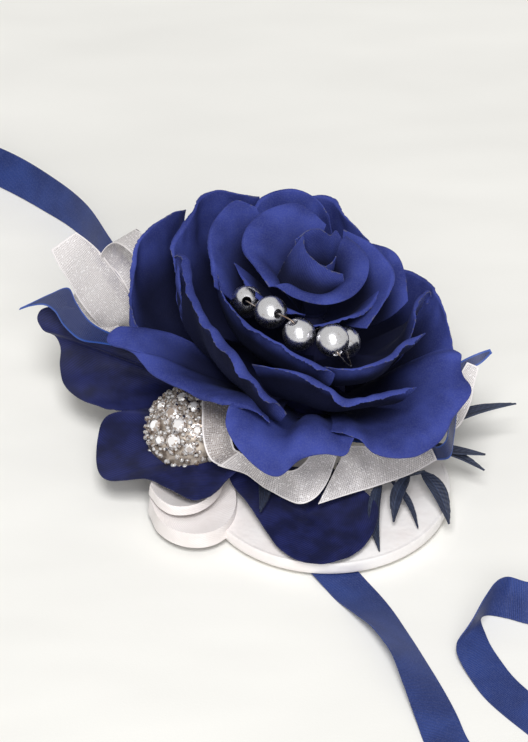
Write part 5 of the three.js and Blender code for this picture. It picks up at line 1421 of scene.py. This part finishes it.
def add_strips(materials):
    for name, look, rows in strip_shares:
        slot, thickness, ruffle = strip_looks[look]
        join = straight if look == "white_satin" else smooth
        grid = strip_grid(rows, STRIP_STEPS, STRIP_COLUMNS, in_spread, join, STRIP_EXTRA)
        grid = ruffled(grid, ruffle, STRIP_WAVE, strip_weight)
        borders = ["first_column", "last_column", "last_row"]
        piece = add_sheet(name + "_cloth", grid, thickness, materials[look], borders, [name])


def leaning_rows(run):
    """The two edges of a ribbon that follows a flat path and leans from flat to on its edge."""
    path = smooth([in_spread((*place, 0)) for place, _ in run])
    lean = smooth([Vector((i, angle, 0)) for i, (_, angle) in enumerate(run)])
    length = running_lengths([path(t) for t in evenly(STRIP_STEPS)])[-1]
    count = max(RIBBON_LEAST_ROWS, round(length / RIBBON_ROW_LENGTH))
    rows = []
    for t in evenly(count):
        along = path(min(1.0, t + 1 / count)) - path(max(0.0, t - 1 / count))
        angle = math.radians(lean(t).y)
        level = Vector((along.y, -along.x, 0)).normalized()
        half = (level * math.cos(angle) + UP * math.sin(angle)) * (RIBBON_WIDTH / 2)
        middle = path(t)
        rest = RIBBON_THICKNESS / 2 + FLOOR_GAP + math.sin(angle) * RIBBON_WIDTH / 2
        early = max(0.0, 1 - t * length / RIBBON_WIDTH)
        middle.z = rest + (UNDER_HEIGHT - rest) * early
        rows.append([middle - half, middle + half])
    return rows


def coil_rows():
    """The unseen length of the left end, wound as an open spiral that stands on its edge."""
    start = in_spread((*left_run_shares[-1][0], 0))
    heading = Vector(coil_heading_shares).normalized()
    center = start + Vector((-heading.y, heading.x, 0)) * COIL_RADIUS
    first = math.atan2(start.y - center.y, start.x - center.x) + CLEARANCE / COIL_RADIUS
    whole = 2 * math.pi * COIL_TURNS
    rows = []
    for t in evenly(round(whole * COIL_RADIUS / RIBBON_ROW_LENGTH)):
        low = center + polar(first + t * whole, COIL_RADIUS - t * COIL_TURNS * COIL_PITCH, FLOOR_GAP)
        rows.append([low, low + UP * RIBBON_WIDTH])
    return rows


def curl_rows():
    """The right end's curl: it stands up, leans back, folds over at the left and lies down."""
    path = smooth([in_spread((*place, 0)) for place, _ in curl_stop_shares])
    ways = smooth([Vector(way) for _, way in curl_stop_shares])
    rows = []
    for t in evenly(CURL_ROWS):
        low = path(t)
        low.z = RIBBON_THICKNESS / 2 + FLOOR_GAP
        way = ways(t)
        way.z = max(0.0, way.z)
        rows.append([low + way.normalized() * RIBBON_WIDTH, low])
    return rows


def add_tie_ribbon(material):
    """One ribbon from the coil, in under the base, and out to the curl at the right."""
    under = leaning_rows([(place, 0) for place in under_shares])
    for row in under:
        for point in row:
            point.z = UNDER_HEIGHT
    rows = [*reversed(coil_rows()), *reversed(leaning_rows(left_run_shares))]
    rows += [row[::-1] for part in (under, leaning_rows(right_run_shares), curl_rows()) for row in part]
    grid = [[low.lerp(high, s) for s in evenly(RIBBON_COLUMNS)] for low, high in rows]
    nodes = [
        "tie_ribbon_under", "tie_ribbon_left", "tie_ribbon_left_coil", "tie_ribbon_right",
        "tie_ribbon_right_curl",
    ]
    piece = add_sheet(
        "tie_ribbon", grid, RIBBON_THICKNESS, material, ["first_column", "last_column"], nodes,
    )


def leaflet_grid(start, tip, width_share, bow_share):
    """A slender pointed leaflet, folded along its rib and curved down to its tip."""
    run = tip - start
    width = width_share * SPREAD
    sideways = run.cross(UP).normalized()
    grid = []
    for t in evenly(LEAF_STEPS):
        swell = math.sin(math.pi * t ** LEAFLET_BELLY) ** LEAFLET_SWELL
        half = width / 2 * max(LEAFLET_TIP_SHARE, swell)
        arch = math.sin(math.pi * t)
        middle = start.lerp(tip, t) + UP * (arch * width * LEAFLET_ARCH_SHARE)
        middle += sideways * (arch * bow_share * run.length)
        row = []
        for s in evenly(LEAFLET_COLUMNS):
            side = 2 * s - 1
            point = middle + sideways * (side * half) + UP * (abs(side) * half * LEAFLET_FOLD)
            if abs(side) == 1:
                point += run.normalized() * (noise.noise(point / LEAFLET_NOTCH) * LEAFLET_NOTCH)
            row.append(point)
        grid.append(row)
    return grid


def add_sprigs(material):
    for name, stem_shares, leaflet_shares in sprig_shares:
        stem = smooth([in_spread(place) for place in stem_shares])
        path = [stem(t) for t in evenly(LEAF_STEPS)]
        add_tube(name + "_stem", path, SPRIG_THICKNESS, material, [name])
        for k, (start, tip, width_share) in enumerate(leaflet_shares, start=1):
            bow_share = LEAFLET_BOW_SHARE * (-1) ** k
            grid = leaflet_grid(in_spread(start), in_spread(tip), width_share, bow_share)
            borders = ["first_column", "last_column"]
            add_sheet(f"{name}_leaflet_{k}", grid, SPRIG_THICKNESS, material, borders)


def bead_places():
    """The centre of each bead and the way that its hole runs, by its name."""
    places = bead_shares.items()
    return {name: (in_rose(center), Vector(hole).normalized()) for name, (center, hole) in places}


def add_beads(material):
    """Plated balls with a straight hole and a rounded mouth at each end of it."""
    mouth = math.asin(BEAD_BORE_RADIUS * BEAD_MOUTH_SHARE / BEAD_RADIUS)
    arc = [mouth + t * (math.pi - 2 * mouth) for t in evenly(BEAD_SIDES // 2)]
    outside = [(math.sin(a) * BEAD_RADIUS, -math.cos(a) * BEAD_RADIUS) for a in arc]
    depth = BEAD_RADIUS * math.cos(mouth) * BORE_END_SHARE
    profile = [*outside, *((BEAD_BORE_RADIUS, depth * way) for way in (1, 0, -1)), outside[0]]
    for name, (center, hole) in bead_places().items():
        add_lathe(
            name + "_silver", profile, material, [name], facing(hole, center),
            BEAD_SIDES, name + "_ball",
        )


def add_wire(material):
    places = bead_places()
    points = []
    for stop in wire_stop_shares:
        if stop[0] in places:
            center, hole = places[stop[0]]
            points += [center + hole * (stop[1] * BEAD_RADIUS * share) for share in bore_stop_shares]
        else:
            points.append(in_rose(stop))
    path = smooth(points)
    points = [path(t) for t in evenly(WIRE_STEPS)]
    add_tube("bead_wire_bent", points, WIRE_LOOK_RADIUS, material, ["bead_wire"])


def add_part(whole, part, place):
    """Adds the points and faces of a part, moved to its place, to those of a whole."""
    points, faces = whole
    part_points, part_faces = part
    faces += [tuple(len(points) + v for v in face) for face in part_faces]
    points += [place @ point for point in part_points]


def stone_part(radius):
    """A round faceted stone: flat table, two rings of crown facets and a girdle."""
    points = []
    for reach, height, turn in stone_ring_shares:
        for k in range(STONE_SIDES):
            points.append(polar(2 * math.pi * (k + turn) / STONE_SIDES, reach, height) * radius)
    points.append(UP * (-STONE_DEPTH_SHARE * radius))
    faces = [tuple(range(STONE_SIDES))]
    for k in range(STONE_SIDES):
        around = (k + 1) % STONE_SIDES
        low, high = STONE_SIDES, 2 * STONE_SIDES
        faces.append((k, low + k, around))
        faces.append((around, low + k, low + around))
        faces.append((low + k, high + k, high + around))
        faces.append((low + k, high + around, low + around))
        faces.append((3 * STONE_SIDES, high + around, high + k))
    return points, faces


def seed_part(radius):
    """A small round bead."""
    points = []
    faces = []
    for i in range(1, SEED_ROWS):
        angle = math.pi * i / SEED_ROWS
        for k in range(STONE_SIDES):
            points.append(polar(2 * math.pi * k / STONE_SIDES, math.sin(angle), math.cos(angle)) * radius)
    last = (SEED_ROWS - 2) * STONE_SIDES
    for start in range(0, last, STONE_SIDES):
        faces += [flipped(face) for face in band_faces(start, start + STONE_SIDES, STONE_SIDES)]
    faces.append(tuple(range(STONE_SIDES)))
    faces.append(tuple(range(last + STONE_SIDES - 1, last - 1, -1)))
    return points, faces


def cup_part(size):
    """A plated cup with claws that bend over the stone's girdle."""
    rim = size * CUP_SHARE
    points = []
    faces = []
    for reach, height in cup_shares:
        points += [polar(2 * math.pi * k / STONE_SIDES, reach, height) * rim for k in range(STONE_SIDES)]
    for a in range(len(cup_shares)):
        b = (a + 1) % len(cup_shares)
        faces += band_faces(a * STONE_SIDES, b * STONE_SIDES, STONE_SIDES)
    for k in range(CLAWS):
        turn = Matrix.Rotation(2 * math.pi * (k + 0.5) / CLAWS, 4, "Z")
        add_part((points, faces), claw_part(rim), turn)
    return points, faces


def claw_part(rim):
    """A small round-topped claw over the rim of a stone."""
    sides = len(claw_corners)
    top = (len(claw_level_shares) - 1) * sides
    points = []
    for reach, height, wide in claw_level_shares:
        half = CLAW_SHARE * wide
        points += [Vector((reach + x * half, y * half, height)) * rim for x, y in claw_corners]
    faces = []
    for start in range(0, top, sides):
        faces += band_faces(start, start + sides, sides)
    faces.append(tuple(range(sides - 1, -1, -1)))
    faces.append(tuple(range(top, top + sides)))
    return points, faces


def dome_seat(place, x_share, y_share, chance):
    """The place and slightly random tilt of a stone on the dome."""
    rise = math.sqrt(max(0.0, 1 - math.hypot(x_share, y_share) ** 2))
    at = Vector((x_share * DIAMANTE_RADIUS, y_share * DIAMANTE_RADIUS, rise * DIAMANTE_HEIGHT))
    way = Vector((x_share / DIAMANTE_RADIUS, y_share / DIAMANTE_RADIUS, rise / DIAMANTE_HEIGHT)).normalized()
    tilt = Vector([chance.uniform(-STONE_TILT, STONE_TILT) for _ in range(3)])
    return place @ facing(way + tilt, at)


def add_diamante(materials):
    """A dome of bright stones in plated cups, with clear seed beads packed round them."""
    place = facing(Vector(diamante_facing_shares), in_spread(diamante_middle_shares))
    outline = [(r * DIAMANTE_RADIUS, z * DIAMANTE_HEIGHT) for r, z in dome_shares]
    add_lathe("diamante_plate", outline, materials["diamante_plate"], ["diamante_setting"], place)
    chance = random.Random(STONE_SEED)
    stones, cups, seeds = ([], []), ([], []), ([], [])
    painted_facet_reflections = []
    for x_share, y_share, size_share in stone_shares:
        size = size_share * DIAMANTE_RADIUS
        seat = dome_seat(place, x_share, y_share, chance)
        stone = stone_part(size)
        add_part(stones, stone, seat)
        # A random painted reflection, from dark to bright, for each facet of the stone
        painted_facet_reflections += [chance.random() for _ in stone[1]]
        add_part(cups, cup_part(size), seat)
    mesh = new_mesh("diamante_stones", *stones)
    mesh.attributes.new("facet", "FLOAT", "FACE").data.foreach_set("value", painted_facet_reflections)
    add_piece("diamante_stones", mesh, materials["clear_stone"])
    add_piece("diamante_cups", new_mesh("diamante_cups", *cups), materials["silver_plate"])
    taken = list(stone_shares)
    for _ in range(SEED_TRIES):
        reach, angle = math.sqrt(chance.random()), chance.uniform(0, 2 * math.pi)
        x, y = reach * math.cos(angle), reach * math.sin(angle)
        size = chance.uniform(*seed_size_shares)
        if any(math.hypot(x - a, y - b) < (size + other) * SEED_SPACING for a, b, other in taken):
            continue
        taken.append((x, y, size))
        add_part(seeds, seed_part(size * DIAMANTE_RADIUS), dome_seat(place, x, y, chance))
    mesh = new_mesh("diamante_seeds", *seeds, len(seeds[1]))
    add_piece("diamante_seeds", mesh, materials["glass_seed"])


def toward(azimuth, elevation):
    """The direction from the middle to a place seen at that azimuth and elevation."""
    rise = math.radians(elevation)
    return polar(math.radians(azimuth), math.cos(rise), math.sin(rise))


def add_table():
    """A plain pale cloth to stand on."""
    half = FLOOR_SIZE / 2
    corners = [(-half, -half, 0), (half, -half, 0), (half, half, 0), (-half, half, 0)]
    mesh = new_mesh("table", corners, [(0, 1, 2, 3)])
    table = add_object("table", mesh)
    table.location.z = -FLOOR_GAP
    shader = Shader("table_cloth", Roughness=TABLE_ROUGHNESS, Specular_IOR_Level=TABLE_SPECULAR)
    turned = shader.node(
        "ShaderNodeMapping", Vector=shader.place, Rotation=(0, 0, math.radians(FLOOR_CREASE_TURN)),
        Scale=(1, FLOOR_CREASE_STRETCH, 1),
    )
    creases = shader.spots(FLOOR_CREASE, vector=turned.outputs["Vector"])
    # Painted shade: the cloth is painted slightly darker in the troughs of its creases
    painted_crease_shade = tuple(value * FLOOR_CREASE_SHADE_SHARE for value in FLOOR_WHITE)
    mesh.materials.append(shader.finish(
        Base_Color=shader.mix(shader.ramp(creases, FLOOR_SPAN), painted_crease_shade, FLOOR_WHITE),
        Normal=shader.relief(
            (shader.spots(COARSE_SPACING), THREAD_DEPTH, MILD), (creases, FLOOR_CREASE_DEPTH, FULL),
        ),
    ))


def add_light():
    """A sky that is dimmer as a light than as it is seen or mirrored, and two soft lamps."""
    world = bpy.data.worlds.new("studio")
    bpy.context.scene.world = world
    world.use_nodes = True
    sky = Nodes(world.node_tree)
    path = sky.node("ShaderNodeLightPath").outputs
    seen = sky.math("MAXIMUM", path["Is Camera Ray"], path["Is Glossy Ray"])
    strength = sky.node("ShaderNodeMapRange", Value=seen, To_Min=WORLD_STRENGTH).outputs["Result"]
    sky.fill(world.node_tree.nodes["Background"], {"Color": linear(FLOOR_WHITE), "Strength": strength})
    for name, azimuth, elevation, power, size in lamps:
        light = bpy.data.lights.new(name, "AREA")
        light.energy = power
        light.size = size
        lamp = add_object(name, light)
        lamp.location = toward(azimuth, elevation) * LAMP_DISTANCE
        lamp.rotation_euler = toward(azimuth, elevation).to_track_quat("Z", "Y").to_euler()


def add_camera():
    data = bpy.data.cameras.new("camera")
    data.lens = CAMERA_LENS
    camera = add_object("camera", data)
    back = toward(CAMERA_AZIMUTH, CAMERA_ELEVATION)
    camera.location = CAMERA_TARGET + back * CAMERA_DISTANCE
    camera.rotation_euler = back.to_track_quat("Z", "Y").to_euler()
    bpy.context.scene.camera = camera


bpy.context.scene.view_settings.view_transform = "Standard"
add_camera()
materials = make_materials()
add_tie_ribbon(materials["tie_ribbon"])
add_base(materials)
add_rose_core(materials)
add_bud_folds(materials["petal_cloth"])
add_petals(materials["petal_cloth"])
add_leaves(materials["leaf_satin"])
add_strips(materials)
add_sprigs(materials["sprig_leaf"])
add_beads(materials["silver_bead"])
add_wire(materials["wire"])
add_diamante(materials)
add_table()
add_light()
